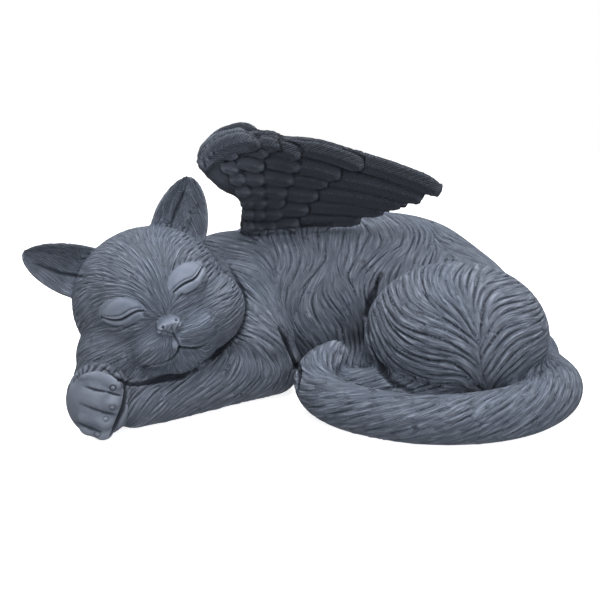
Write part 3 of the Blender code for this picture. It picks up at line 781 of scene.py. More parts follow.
def tube_nearness(points, rows):
    """How near each point is to a limb, from 0 to 1, and the limb's heading there."""
    path = spline(rows, 4)
    heading = unit_rows(np.gradient(path[:, :3], axis=0))
    gap = np.linalg.norm(points[:, None, :] - path[None, :, :3], axis=2) / path[None, :, 3]
    nearest = gap.argmin(axis=1)
    reach = gap.min(axis=1)
    return np.clip(1 - (reach - 1.0) / 0.3, 0, 1), heading[nearest]


def on_wings(points):
    """Whether each point is on a wing, by its place across the wing's plane and up it."""
    found = np.zeros(len(points), bool)
    for side in (1, -1):
        out = side * (SPINE_AT_WINGS[1] - points[:, 1]) - (SPINE_AT_WINGS[1] - WING_ROOT[1])
        rise = points[:, 2] - WING_ROOT[2]
        across = out * math.cos(WING_LEAN) - rise * math.sin(WING_LEAN)
        up = out * math.sin(WING_LEAN) + rise * math.cos(WING_LEAN)
        found |= (np.abs(across) < WING_REACH) & (up > WING_START) & (points[:, 0] > HEAD_CENTRE[0] + 20)
    return found


def build_masses():
    clay = bmesh.new()
    add_tube(clay, TRUNK, sides=32)
    for centre, half in (NEAR_HAUNCH, NEAR_HIP, FAR_HAUNCH, NEAR_SHOULDER, NEAR_ELBOW, NECK):
        add_ball(clay, centre, half)
    for centre, half in (UNDER_HEAD, UNDER_BELLY):
        add_ball(clay, centre, half)
    return fused("masses", clay, MASS_CELL, MASS_ROUNDS)


def build_limbs(masses):
    clay = bmesh.new()
    for rows in (TAIL, HIND_FOOT, NEAR_UPPER_ARM, NEAR_FOREARM, FAR_FOREARM, WING_BED):
        add_tube(clay, rows)
    add_tube(clay, [(x, 2 * SPINE_AT_WINGS[1] - y, z, wide, tall) for x, y, z, wide, tall in WING_BED])
    add_ball(clay, *PAW)
    add_head(clay)
    clay.from_mesh(masses)
    return fused("limbs", clay, LIMB_CELL, LIMB_ROUNDS)


def add_ear(clay, inner, outer, tip):
    """An ear: crescent sections from its base to its tip, hollow in front, with a rolled rim."""
    inner, outer, tip = (Vector((r, 0.0, u)) for r, u in (inner, outer, tip))
    base = (inner + outer) / 2
    half = (outer - inner) / 2
    rings = []
    for share in np.linspace(-0.35, 1.0, 16):
        reach = max(share, 0.0)
        narrow = max(1.0 - reach**1.8, 0.02) ** 0.6
        centre = base + (tip - base) * share
        depth = EAR_HALF_DEPTH * (1.0 - 0.5 * reach)
        ring = []
        for a in np.linspace(0, 2 * math.pi, 36, endpoint=False):
            across = half * (math.cos(a) * narrow)
            back = depth * math.sin(a)
            if back < 0:
                back = -0.35 * depth * abs(math.sin(a)) ** 0.5 + 0.85 * depth * math.sin(a) ** 2
            point = centre + across
            ring.append(in_head(point.x, -back - 2.0 - 5.0 * reach, point.z))
        rings.append(ring)
    add_rings(clay, rings)


def far_wing_place():
    """Where the far wing stands: the near one mirrored across the spine and turned a little."""
    spine = Matrix.Translation(at((*SPINE_AT_WINGS, 0.0)))
    placed = Matrix.Translation(at((*SPINE_AT_WINGS, -FAR_WING_DROP)))
    turn = Matrix.Rotation(math.radians(FAR_WING_TURN), 4, "Z")
    return placed @ turn @ Matrix.Scale(-1.0, 4, (0.0, 1.0, 0.0)) @ spine.inverted()


def mirrored(mesh):
    """The far wing."""
    far = mesh.copy()
    far.transform(far_wing_place())
    far.flip_normals()
    return far


def build_details(limbs):
    clay = bmesh.new()
    add_face(clay)
    add_toes(clay)
    for ear in EARS:
        add_ear(clay, *ear)
    wing = make_wing()
    for mesh in (limbs, wing, mirrored(wing)):
        clay.from_mesh(mesh)
    return fused("angel_cat", clay, FINE_CELL, FINE_ROUNDS)


def skin_of(mesh):
    points = points_of(mesh)
    return BVHTree.FromPolygons(points.tolist(), [tuple(face.vertices) for face in mesh.polygons])


def eye_place():
    return np.array((0.0, -EYE_DISTANCE, EYE_HEIGHT))


def sight_line(u, v):
    """The way from the camera through a pixel of the picture."""
    right = (u - PICTURE_MIDDLE) / FOCAL_PIXELS
    down = (v - PICTURE_MIDDLE) / FOCAL_PIXELS
    ahead = math.cos(EYE_TILT) - down * math.sin(EYE_TILT)
    rise = -math.sin(EYE_TILT) - down * math.cos(EYE_TILT)
    return Vector((right, ahead, rise)).normalized()


def tree_of(points):
    tree = KDTree(len(points))
    for i, point in enumerate(points):
        tree.insert(point, i)
    tree.balance()
    return tree


def laid_on(skin, line, count):
    """A line of the picture laid on the skin that shows there, as this many points, or None."""
    path = spline(line, 6)
    steps = np.linalg.norm(np.diff(path, axis=0), axis=1)
    reach = np.concatenate([[0.0], np.cumsum(steps)])
    places = np.linspace(0, reach[-1], count)
    out = []
    for u, v in zip(np.interp(places, reach, path[:, 0]), np.interp(places, reach, path[:, 1])):
        hit = skin.ray_cast(Vector(eye_place()), sight_line(u, v))[0]
        if hit is None:
            return None
        out.append(hit)
    return np.array(out)


def head_nearness(points):
    """1 on the head's skin, falling to 0 just outside it."""
    local = from_head(points) * (1, -1, 1)
    reach = np.full(len(points), 9.0)
    for centre, half in HEAD_FORMS:
        reach = np.minimum(reach, np.linalg.norm((local - np.array(centre)) / np.array(half), axis=1))
    return np.clip(1 - (reach - 1 - HEAD_MARGIN) / HEAD_MARGIN, 0, 1)


def in_picture(points):
    """The picture's pixels at which points are seen."""
    x, y, z = (points - eye_place()).T
    ahead = y * math.cos(EYE_TILT) - z * math.sin(EYE_TILT)
    rise = y * math.sin(EYE_TILT) + z * math.cos(EYE_TILT)
    ahead = np.maximum(ahead, 1.0)
    return PICTURE_MIDDLE + FOCAL_PIXELS * x / ahead, PICTURE_MIDDLE - FOCAL_PIXELS * rise / ahead


def in_oval(u, v, oval):
    """Whether pixels are inside a turned oval of the picture."""
    (middle_u, middle_v), (wide, tall), turn = oval
    turn = math.radians(turn)
    across = (u - middle_u) * math.cos(turn) - (v - middle_v) * math.sin(turn)
    over = (u - middle_u) * math.sin(turn) + (v - middle_v) * math.cos(turn)
    return (across / wide) ** 2 + (over / tall) ** 2 < 1


class Lie:
    """How the fur lies: a direction along the skin at any place."""

    def __init__(self, skin):
        places, ways, facings, of_head = [], [], [], []
        for strokes in ALL_STROKES:
            for stroke in strokes:
                line = laid_on(skin, stroke, 4 * len(stroke) - 3)
                if line is None:
                    continue
                for start, end in zip(line, line[1:]):
                    middle = (start + end) / 2
                    normal = skin.find_nearest(Vector(middle))[1]
                    if np.linalg.norm(end - start) > LONGEST_STRETCH:
                        continue
                    places.append(middle)
                    ways.append(end - start)
                    facings.append(normal)
                    of_head.append(strokes is HEAD_STROKES)
        self.places = np.array(places)
        self.ways = unit_rows(np.array(ways))
        self.facings = np.array(facings)
        self.of_head = np.array(of_head)

    def general(self, points, normals):
        """The lie where no stroke reaches: down the flanks, and away from the nose on the head."""
        x, y, z = points.T
        near = np.where(y < SPINE_SIDE, 1.0, -1.0)
        sway = 0.5 + 0.45 * np.sin(x / 19 + z / 15)
        flow = unit_rows(np.stack([sway, -0.45 * near, -1.0 + 0 * x], axis=1))
        head = head_nearness(points)[:, None]
        nose = np.array(in_head(*NOSE_BRIDGE))
        return flow * (1 - head) + unit_rows(points - nose) * head

    def at(self, points, normals):
        flow = self.general(points, normals) / GENERAL_REACH**4
        head = head_nearness(points)
        for low in range(0, len(points), AT_ONCE):
            part = slice(low, low + AT_ONCE)
            square = (points[part] ** 2).sum(axis=1)[:, None] + (self.places**2).sum(axis=1)[None]
            square = np.maximum(square - 2 * points[part] @ self.places.T, 0.0)
            alike = np.clip(normals[part] @ self.facings.T, 0.02, 1)
            share = np.where(self.of_head, head[part, None], 1 - head[part, None])
            weight = share * alike**2 / (square + STROKE_REACH**2) ** 2
            flow[part] += weight @ self.ways
        flow = unit_rows(flow)
        for rows, slant in LIMB_SLANTS:
            weight, heading = tube_nearness(points, rows)
            weight = (weight * (1 - head))[:, None]
            flow = flow * (1 - weight) + unit_rows(heading + slant * np.cross(normals, heading)) * weight
        flow -= normals * (flow * normals).sum(axis=1, keepdims=True)
        return unit_rows(flow)


def fur_of(points):
    """The spacing, length and depth of the fur's cuts at each point."""
    fur = np.tile(np.array(FUR_OF_BODY), (len(points), 1))

    def blend(weight, kind):
        fur[:] = fur * (1 - weight[:, None]) + np.array(kind) * weight[:, None]

    blend((points[:, 1] > BACK_FROM).astype(float), FUR_OF_BACK)
    blend(ball_nearness(points, *NEAR_HAUNCH), FUR_OF_HAUNCH)
    for rows in (NEAR_FOREARM, NEAR_UPPER_ARM, FAR_FOREARM, HIND_FOOT):
        blend(tube_nearness(points, rows)[0], FUR_OF_ARM)
    blend(tube_nearness(points, TAIL)[0], FUR_OF_TAIL)
    head = head_nearness(points)
    blend(head, FUR_OF_HEAD)
    right = from_head(points)[:, 0]
    blend(head * np.clip((right - RUFF_FROM) / RUFF_WIDTH, 0, 1), FUR_OF_RUFF)
    blend(ear_nearness(points), FUR_OF_EAR)
    blend(ball_nearness(points, in_head(*MUZZLE[0]), MUZZLE[1], head_turn()), FUR_OF_MUZZLE)
    return fur.T


def ear_nearness(points):
    """1 on the ears, outside the head's own forms."""
    right, back, up = from_head(points).T
    found = np.zeros(len(points))
    for inner, outer, tip in EARS:
        base = (np.array(inner) + np.array(outer)) / 2
        along = np.array(tip) - base
        place = np.stack([right, up], axis=1) - base
        reach = place @ along / (along @ along)
        across = np.abs(place @ np.array((-along[1], along[0]))) / np.linalg.norm(along)
        near = (across < EAR_SIDE_REACH) & (np.abs(back) < EAR_DEPTH_REACH)
        found[near & (reach > 0.0) & (reach < EAR_TIP_REACH)] = 1.0
    return found * (1 - head_nearness(points))


def bare_places(points):
    """Where no fur is cut: wings, eyes, nose, toes and the underside."""
    back = from_head(points)[:, 1]
    astride = (points[:, 0] > 0) & (np.abs(points[:, 1] - SPINE_AT_WINGS[1]) < SPINE_HALF)
    bare = on_wings(points) & ~astride | (points[:, 2] < BASE_RISE)
    u, v = in_picture(points)
    front = (head_nearness(points) > 0) & (back < -FACE_DEPTH)
    for oval in BARE_OVALS:
        bare |= front & in_oval(u, v, oval)
    bare |= in_oval(u, v, BARE_TOES) & (points[:, 1] < TOES_BEHIND)
    return bare


def fur_seeds(points, flow, allowed, spacing, length, seed):
    """Places for the strokes: at random, but none beside or end on end with another."""
    rng = np.random.default_rng(seed)
    order = rng.permutation(np.flatnonzero(allowed))[:MOST_TRIES]
    cells = {}
    taken = []
    for index in order:
        here = points[index]
        reach = int(math.ceil(0.8 * length[index] / SEED_CELL))
        key = tuple((here // SEED_CELL).astype(int))
        crowd = kept_near(cells, key, reach)
        if crowd:
            gap = points[crowd] - here
            along = np.abs(gap @ flow[index])
            aside = np.sqrt(np.maximum((gap * gap).sum(axis=1) - along**2, 0))
            if ((along < LENGTHS_APART * length[index]) & (aside < spacing[index])).any():
                continue
        cells.setdefault(key, []).append(index)
        taken.append(index)
    return np.array(taken)


def trace(skin, lie, starts, length):
    """Lines along the fur through the starts, as an array of lines by points by three."""
    stride = length[:, None] / (LINE_POINTS - 1)
    halves = []
    for way in (-1, 1):
        here = starts.copy()
        line = [here.copy()]
        for _ in range(LINE_POINTS // 2):
            normals = np.empty_like(here)
            for i, point in enumerate(here):
                place, normal, _, _ = skin.find_nearest(Vector(point))
                here[i] = place
                normals[i] = normal
            here = here + lie.at(here, normals) * (way * stride)
            line.append(here.copy())
        halves.append(line)
    back, forth = halves
    return np.stack(back[::-1] + forth[1:], axis=1)


def kept_near(cells, key, reach):
    """What the cells round this one hold."""
    steps = range(-reach, reach + 1)
    held = []
    for i in steps:
        for j in steps:
            for k in steps:
                held += cells.get((key[0] + i, key[1] + j, key[2] + k), [])
    return held


def spaced_picks(points, order, gap):
    """Points taken in this order, leaving out each that is nearer than the gap to one already taken."""
    cells = {}
    taken = []
    for index in order:
        here = points[index]
        key = tuple((here // gap).astype(int))
        near = kept_near(cells, key, 1)
        if near and (((points[near] - here) ** 2).sum(axis=1) < gap**2).any():
            continue
        cells.setdefault(key, []).append(index)
        taken.append(index)
    return taken


def hair_places(points, normals, flow, pitch, picks):
    """Each point's place across and along the fur from its patch's middle, and how far inside it is."""
    sink = HAIR_SINK + (HAIR_SINK_OF_EARS - HAIR_SINK) * ear_nearness(points)
    sunk = points - normals * sink[:, None]
    tree = tree_of(sunk[picks])
    nearest = np.empty(len(points), int)
    margin = np.empty(len(points))
    for i, point in enumerate(sunk):
        (_, first, near), (_, _, further) = tree.find_n(point, 2)
        nearest[i] = picks[first]
        margin[i] = further - near
    offset = points - points[nearest]
    side = np.cross(normals, flow)
    same = np.where((flow * flow[nearest]).sum(axis=1) < 0, -1.0, 1.0)[:, None]
    along = unit_rows(flow * same + flow[nearest])
    across = unit_rows(side * same + side[nearest])
    places = np.stack([
        (offset * across).sum(axis=1) / pitch[nearest],
        (offset * along).sum(axis=1) / HAIR_LENGTH,
        nearest * HAIR_ROW_STEP % HAIR_ROWS,
    ], axis=1)
    return places, margin


def write_hair(mesh, lie):
    """What the fine hair is drawn by: sets of patches that cover one another's borders."""
    points, normals = points_of(mesh), normals_of(mesh)
    flow = lie.at(points, normals)
    pitch = fur_of(points)[0] * HAIR_SHARE
    order = np.random.default_rng(11).permutation(len(points))
    deepest = np.zeros(len(points))
    depths = []
    for name in HAIR_SETS:
        tries = order[deepest[order] < HAIR_BORDER][:HAIR_TRIES]
        picks = spaced_picks(points, tries, HAIR_PATCH)
        places, depth = hair_places(points, normals, flow, pitch, picks)
        write_shade(mesh, name, places)
        depths.append(np.clip(depth, LEAST_DEPTH, HAIR_FADE) ** HAIR_FADE_POWER)
        deepest = np.maximum(deepest, depth)
    for name, depth in zip(HAIR_SETS, depths):
        write_shade(mesh, name + "_share", depth / sum(depths))
    combed = np.clip((deepest - HAIR_STOPS) / HAIR_WHOLE, 0.0, 1.0)
    write_shade(mesh, "fur", combed * ~bare_places(points))


class Carving:
    """The skin's points as they are cut, and how deep each has been cut."""

    def __init__(self, points, normals):
        self.points = points.copy()
        self.normals = normals
        self.depth = np.zeros(len(points))

    def cut(self, lines, half_width, depth, near=None, fade=0.6):
        """Presses the points in along the lines, deepest halfway and running out at their ends."""
        lines = np.asarray(lines)
        count, steps, _ = lines.shape
        half_width, depth = np.broadcast_to(half_width, count), np.broadcast_to(depth, count)
        run_out = np.tile(np.sin(np.linspace(0.06, 0.94, steps) * math.pi) ** fade, count)
        between = np.gradient(lines, axis=1).reshape(-1, 3)
        heading = unit_rows(between)
        stride = 0.6 * np.linalg.norm(between, axis=1)
        samples = lines.reshape(-1, 3)
        wide = np.repeat(half_width, steps) * (0.5 + 0.5 * run_out)
        deep = np.repeat(depth, steps) * run_out
        tree = tree_of(samples)
        low, high = samples.min(axis=0) - WIDEST_CUT, samples.max(axis=0) + WIDEST_CUT
        inside = ((self.points > low) & (self.points < high)).all(axis=1)
        if near is not None:
            inside &= near
        chosen = np.flatnonzero(inside)
        points = self.points[chosen]
        nearest = np.array([tree.find(point)[1] for point in points])
        offset = points - samples[nearest]
        ahead = (offset * heading[nearest]).sum(axis=1)
        ahead = np.clip(ahead, -stride[nearest], stride[nearest])
        offset -= heading[nearest] * ahead[:, None]
        normals = self.normals[chosen]
        raised = (offset * normals).sum(axis=1, keepdims=True)
        offset -= normals * np.clip(raised, -SUNK_BEFORE, SUNK_BEFORE)
        share = np.linalg.norm(offset, axis=1) / wide[nearest]
        press = deep[nearest] * np.clip(1 - share**2, 0, 1) ** 1.5
        self.points[chosen] = points - self.normals[chosen] * press[:, None]
        self.depth[chosen] += press


def carve_fur(carving, skin, lie):
    points, normals = carving.points, carving.normals
    spacing, length, depth = fur_of(points)
    flow = lie.at(points, normals)
    seeds = fur_seeds(points, flow, ~bare_places(points), spacing, length, seed=3)
    rng = np.random.default_rng(5)
    stretch = rng.uniform(*LENGTHS, len(seeds))
    lines = trace(skin, lie, points[seeds], length[seeds] * stretch)
    wide = CUT_WIDTH * spacing[seeds] * rng.uniform(*WIDTHS, len(seeds))
    deep = depth[seeds] * rng.uniform(*DEPTHS, len(seeds))
    carving.cut(lines, wide, deep, near=~bare_places(points))


def carve_face(carving, skin):
    for line, half_width, depth in FACE_LINES:
        laid = laid_on(skin, line, 24)
        if laid is not None:
            carving.cut([laid], half_width, depth, fade=0.35)


def carve_creases(carving, skin):
    for line, half_width, depth in CREASES:
        laid = laid_on(skin, line, 40)
        if laid is not None:
            carving.cut([laid], half_width, depth, fade=0.5)


def carve_ears(carving, skin):
    for hollow in EAR_HOLLOWS:
        laid = laid_on(skin, hollow, 24)
        if laid is not None:
            carving.cut([laid], *HOLLOW_CUT)


def exposed_runs(skin, path, count):
    """The stretches of a path that lie on the open skin, each as this many points."""
    runs, run = [], []
    for point in path:
        place, _, _, gap = skin.find_nearest(point)
        if gap < EXPOSED_WITHIN:
            run.append(np.array(place))
            continue
        runs.append(run)
        run = []
    runs.append(run)
    out = []
    for run in runs:
        if len(run) < 3:
            continue
        run = np.array(run)
        places = np.linspace(0, len(run) - 1, count)
        low = np.minimum(places.astype(int), len(run) - 2)
        out.append(run[low] + (run[low + 1] - run[low]) * (places - low)[:, None])
    return out


def feather_at(start, bend, end, share):
    """A feather's middle line and heading at this share of its length."""
    middle = start * (1 - share) ** 2 + bend * 2 * share * (1 - share) + end * share**2
    heading = (bend - start) * (1 - share) + (end - bend) * share
    return middle, heading / np.linalg.norm(heading)


def feather_width(half, share, length):
    """The half width at this share of a feather's length: narrow at its root and round at its tip."""
    round_from = 1.0 - min(TIP_ROUND * half / length, MOST_ROUND)
    past_round = max((share - round_from) / (1.02 - round_from), 0.0)
    return half * (0.62 + 0.38 * min(share / 0.5, 1.0)) * math.sqrt(max(1.0 - past_round**2, 0.01))


def feather_edges(place, start, bend, end, half, out, side):
    """The path round a feather, just outside its edge."""
    path = []
    length = np.linalg.norm(end - start)
    shares = np.concatenate([np.linspace(0.15, 0.7, 12), np.linspace(0.72, 1.0, 12)])
    for turn, order in ((-1, shares), (1, shares[::-1])):
        for share in order:
            middle, heading = feather_at(start, bend, end, share)
            across = np.array((-heading[1], heading[0]))
            x, z = middle + across * turn * (feather_width(half, share, length) + 0.15)
            path.append(place @ wing_point(x, z, side * (out + 0.2 * FEATHER_THICKNESS / UNIT)))
    return path


def feather_barbs(place, start, bend, end, half, out, side):
    """The paths of a feather's barbs, slanting from its shaft to its edges."""
    length = np.linalg.norm(end - start)
    thick = FEATHER_THICKNESS / UNIT
    for number in range(int(length * 0.9 / BARB_SPACING)):
        share = BARB_START + number * BARB_SPACING / length
        middle, heading = feather_at(start, bend, end, share)
        for turn in (-1, 1):
            across = np.array((-heading[1], heading[0])) * turn
            wide = feather_width(half, min(share + 0.5 * half / length, 1.0), length)
            path = []
            for reach in np.linspace(0.12, 0.9, 6):
                x, z = middle + across * wide * reach + heading * wide * reach / math.tan(BARB_ANGLE)
                rise = 1.0 - 0.55 * reach
                path.append(place @ wing_point(x, z, side * (out + thick * rise)))
            yield path


def wing_places():
    """Where the near wing and the far wing stand, counted in units."""
    scale = Matrix.Scale(1 / UNIT, 4)
    return Matrix.Identity(4), scale @ far_wing_place() @ scale.inverted()


def feather_places(points):
    """For points on a feather: their place along its barbs, and across it from shaft (0) to edge (1)."""
    barb, vane, found = np.zeros(len(points)), np.full(len(points), 0.5), np.zeros(len(points))
    # Painted shade on the ears and on the wings, and a darker paw.
    painted_shade_and_darker_paw = PAINTED_SHADE_OF_EARS * ear_nearness(points) + DARKENING_OF_PAW * ball_nearness(points, *PAW)
    chosen = np.flatnonzero(on_wings(points))
    rows, shares = zip(*FEATHER_SECTION)
    for place in wing_places():
        back = np.array(place.inverted())
        x, y, z = back[:3, :3] @ points[chosen].T + back[:3, 3:]
        lean_y = y - WING_ROOT[1] - WING_SWEEP * (x - WING_ROOT[0])
        rise = (z - WING_ROOT[2]) * math.cos(WING_LEAN) - lean_y * math.sin(WING_LEAN)
        height = -lean_y * math.cos(WING_LEAN) - (z - WING_ROOT[2]) * math.sin(WING_LEAN)
        z = WING_ROOT[2] + rise
        own = np.abs(height) < WING_REACH
        from_wrist = np.hypot(x - WRIST[0], z - WRIST[1])
        # The wings' painted shade: lighter at the wrist, deepening outwards.
        painted_shade_and_darker_paw[chosen[own]] = np.interp(from_wrist, WRIST_REACH, PAINTED_SHADE_OF_WINGS)[own]
        for side in (1, -1):
            top = np.full(len(chosen), -9.0)
            for start, bend, end, half, out in feather_lines():
                length = np.linalg.norm(end - start)
                flat = np.stack([x, z], axis=1)
                share = np.clip((flat - start) @ (end - start) / length**2, 0.0, 1.0)
                ahead = share[:, None]
                middle = start * (1 - ahead) ** 2 + bend * 2 * ahead * (1 - ahead) + end * ahead**2
                heading = unit_rows((bend - start) * (1 - ahead) + (end - bend) * ahead)
                offset = flat - middle
                across = offset[:, 1] * heading[:, 0] - offset[:, 0] * heading[:, 1]
                wide = np.array([feather_width(half, s, length) for s in share])
                level = out + FEATHER_THICKNESS / UNIT * np.interp(across / wide, rows, shares)
                shows = own & (side * height > 0) & (level > top)
                shows &= (np.abs(across) < wide) & (share > 0) & (share < 1)
                top[shows] = level[shows]
                place_on = chosen[shows]
                slant = np.abs(across) / math.tan(BARB_ANGLE)
                barb[place_on] = ((share - BARB_START) * length - slant)[shows]
                vane[place_on] = np.maximum(np.abs(across) / wide, 1 - (1 - share) * length / half)[shows]
                found[place_on] = 1.0
    return barb, vane, found, painted_shade_and_darker_paw


def carve_feathers(carving, skin):
    """Each feather's edge and barbs, on both faces of both wings."""
    wings = on_wings(carving.points)
    edges, barbs = [], []
    for place in wing_places():
        for side in (1, -1):
            for start, bend, end, half, out in feather_lines():
                edge = feather_edges(place, start, bend, end, half, out, side)
                edges += exposed_runs(skin, edge, LINE_POINTS)
                for path in feather_barbs(place, start, bend, end, half, out, side):
                    barbs += exposed_runs(skin, path, 6)
    carving.cut(barbs, *BARB_CUT, near=wings, fade=0.3)
    carving.cut(edges, *EDGE_CUT, near=wings, fade=0.3)


def carve_paw(carving, skin):
    lines = [laid_on(skin, line, LINE_POINTS) for line in TOE_LINES]
    carving.cut([line for line in lines if line is not None], *TOE_CUT)
    turn = np.linspace(0, 2 * math.pi, 18)
    rings = []
    for u, v in CLAWS:
        ring = [(u + CLAW_HALF[0] * math.cos(a), v + CLAW_HALF[1] * math.sin(a)) for a in turn]
        ring = laid_on(skin, ring, 20)
        if ring is not None and np.ptp(ring[:, 1]) < 8:
            rings.append(ring)
    if rings:
        carving.cut(rings, *CLAW_CUT, fade=0.01)


def refined(mesh):
    """The mesh with the face's skin divided once more, for its finer lines."""
    chosen = on_face(points_of(mesh), normals_of(mesh))
    clay = bmesh.new()
    clay.from_mesh(mesh)
    clay.verts.ensure_lookup_table()
    edges = [edge for edge in clay.edges if chosen[edge.verts[0].index] and chosen[edge.verts[1].index]]
    bmesh.ops.subdivide_edges(clay, edges=edges, cuts=1, use_grid_fill=True)
    clay.to_mesh(mesh)
    clay.free()
    return mesh


def behind(points, normals):
    """Whether the picture doesn't show this side: it faces away from the camera."""
    return (normals * (eye_place() - points)).sum(axis=1) < 0


def thinned(mesh, frozen_of, target):
    """The mesh cut down to this many triangles, with the frozen part left as it is."""
    obj = bpy.data.objects.new("thinning", mesh)
    bpy.context.scene.collection.objects.link(obj)
    group = obj.vertex_groups.new(name="frozen")
    frozen = frozen_of(points_of(mesh), normals_of(mesh))
    group.add(np.flatnonzero(frozen).tolist(), 1.0, "REPLACE")
    cut = obj.modifiers.new("thin", "DECIMATE")
    mesh.calc_loop_triangles()
    cut.ratio = min(1.0, target / len(mesh.loop_triangles))
    cut.use_collapse_triangulate = True
    cut.vertex_group = group.name
    cut.invert_vertex_group = True
    cut.vertex_group_factor = 1e-6
    out = evaluated(obj)
    bpy.data.objects.remove(obj)
    return out


def on_face(points, normals):
    near = ball_nearness(points, in_head(*FACE_REACH[0]), FACE_REACH[1], head_turn()) > 0
    return near & ~behind(points, normals)


def settle(mesh, cad):
    """The underside made flat on the ground, and the figure brought over the solid."""
    points = points_of(mesh)
    points[points[:, 2] < 0.4, 2] = 0.0
    low, high = points.min(axis=0), points.max(axis=0)
    middle = (np.array(cad[0]) + np.array(cad[1])) / 2 / UNIT
    shift = middle - (low + high) / 2
    points[:, :2] += shift[:2]
    set_points(mesh, points)
    return shift[:2] * UNIT


def hollowness(mesh):
    """How far each point lies in a hollow (above 0) or on a ridge (below 0), from its neighbours."""
    points, normals = points_of(mesh), normals_of(mesh)
    ends = np.empty(len(mesh.edges) * 2, np.int32)
    mesh.edges.foreach_get("vertices", ends)
    a, b = ends.reshape(-1, 2).T
    out = np.zeros(len(points))
    count = np.bincount(a, minlength=len(points)) + np.bincount(b, minlength=len(points))
    way = unit_rows(points[b] - points[a])
    np.add.at(out, a, (normals[a] * way).sum(axis=1))
    np.add.at(out, b, -(normals[b] * way).sum(axis=1))
    out /= np.maximum(count, 1)
    for _ in range(2):
        spread = np.zeros(len(points))
        np.add.at(spread, a, out[b])
        np.add.at(spread, b, out[a])
        out = 0.5 * out + 0.5 * spread / np.maximum(count, 1)
    return out


def write_shade(mesh, name, values):
    """A value, or a place, for each of the mesh's points, that the material reads."""
    kind, field = ("FLOAT", "value") if values.ndim == 1 else ("FLOAT_VECTOR", "vector")
    shade = mesh.attributes.new(name, kind, "POINT")
    shade.data.foreach_set(field, values.astype(np.float32).ravel())


def make_figure(cad):
    """The whole figure: fused, carved, thinned and settled over the solid. Also how far it moved."""
    mesh = refined(build_details(build_limbs(build_masses())))
    skin = skin_of(mesh)
    lie = Lie(skin)
    carving = Carving(points_of(mesh), normals_of(mesh))
    carve_creases(carving, skin)
    carve_fur(carving, skin, lie)
    carve_face(carving, skin)
    carve_paw(carving, skin)
    carve_ears(carving, skin)
    carve_feathers(carving, skin)
    points = carving.points
    points[:, 2] = np.maximum(points[:, 2], 0.0)
    set_points(mesh, points)
    cuts = tree_of(points)
    mesh.calc_loop_triangles()
    total = len(mesh.loop_triangles)
    away = behind(points, carving.normals).mean()
    face = on_face(points, carving.normals).mean()
    total -= total * away - TRIANGLES_BEHIND
    mesh = thinned(mesh, lambda p, n: ~behind(p, n), total)
    total -= max(len(points) * 2 * face - TRIANGLES_OF_FACE, 0)
    mesh = thinned(mesh, lambda p, n: ~on_face(p, n), total)
    mesh = thinned(mesh, lambda p, n: behind(p, n) | on_face(p, n), TRIANGLES)
    nearest = [cuts.find(point)[1] for point in points_of(mesh)]
    write_shade(mesh, "cut", carving.depth[nearest])
    write_shade(mesh, "hollow", hollowness(mesh))
    write_hair(mesh, lie)
    for name, values in zip(("barb", "vane", "feather", "painted_shade_and_darker_paw"), feather_places(points_of(mesh))):
        write_shade(mesh, name, values)
    shift = settle(mesh, cad)
    return mesh, shift


class Value:
    """A number in a shader, with the usual arithmetic."""

    def __init__(self, shader, socket):
        self.shader = shader
        self.socket = socket

    def maths(self, operation, *others, turned=False):
        values = [self, *others]
        if turned:
            values.reverse()
        node = self.shader.node("ShaderNodeMath", {"operation": operation}, dict(enumerate(values)))
        return Value(self.shader, node.outputs[0])

    def __add__(self, other):
        return self.maths("ADD", other)

    def __radd__(self, other):
        return self.maths("ADD", other)

    def __sub__(self, other):
        return self.maths("SUBTRACT", other)

    def __rsub__(self, other):
        return self.maths("SUBTRACT", other, turned=True)

    def __mul__(self, other):
        return self.maths("MULTIPLY", other)

    def __rmul__(self, other):
        return self.maths("MULTIPLY", other)

    def clamp(self):
        return self.maths("MAXIMUM", 0.0).maths("MINIMUM", 1.0)

    def size(self):
        return self.maths("ABSOLUTE")

    def wave(self):
        return self.maths("SINE")


class Shader:
    """A material's nodes, written as expressions."""

    def __init__(self, name):
        self.material = bpy.data.materials.new(name)
        self.material.use_nodes = True
        self.tree = self.material.node_tree
        self.surface = self.tree.nodes["Principled BSDF"]
        self.place = self.node("ShaderNodeTexCoord").outputs["Object"]

    def node(self, kind, settings=None, sockets=None):
        node = self.tree.nodes.new(kind)
        for name, value in (settings or {}).items():
            setattr(node, name, value)
        for name, value in (sockets or {}).items():
            self.feed(node.inputs[name], value)
        return node

    def feed(self, socket, value):
        if isinstance(value, Value):
            self.tree.links.new(value.socket, socket)
        elif isinstance(value, bpy.types.NodeSocket):
            self.tree.links.new(value, socket)
        else:
            socket.default_value = value

    def noise(self, scale, detail=3.0, roughness=0.55):
        sockets = {"Vector": self.place, "Scale": scale, "Detail": detail, "Roughness": roughness}
        return Value(self, self.node("ShaderNodeTexNoise", {}, sockets).outputs[0])

    def strands(self, name):
        """Strands along the fur, at the places that a vector attribute holds: 0 between them."""
        place = self.node("ShaderNodeAttribute", {"attribute_name": name}).outputs["Vector"]
        sockets = {"Vector": place, "Scale": 1.0, "Detail": 1.5, "Roughness": 0.5}
        return (Value(self, self.node("ShaderNodeTexNoise", {}, sockets).outputs[0]) - 0.5).size()

    def attribute(self, name):
        return Value(self, self.node("ShaderNodeAttribute", {"attribute_name": name}).outputs["Fac"])

    def mix(self, share, low, high):
        node = self.node("ShaderNodeMix", {"data_type": "RGBA", "clamp_factor": True})
        self.feed(node.inputs["Factor"], share)
        self.feed(node.inputs[6], low)
        self.feed(node.inputs[7], high)
        return node.outputs[2]

    def constant(self, name, value):
        self.surface.inputs[name].default_value = value

    def vary(self, name, value):
        self.feed(self.surface.inputs[name], value)

    def bump(self, height, distance, strength, below=None):
        sockets = {"Height": height, "Distance": distance, "Strength": strength}
        if below is not None:
            sockets["Normal"] = below
        return self.node("ShaderNodeBump", {}, sockets).outputs[0]


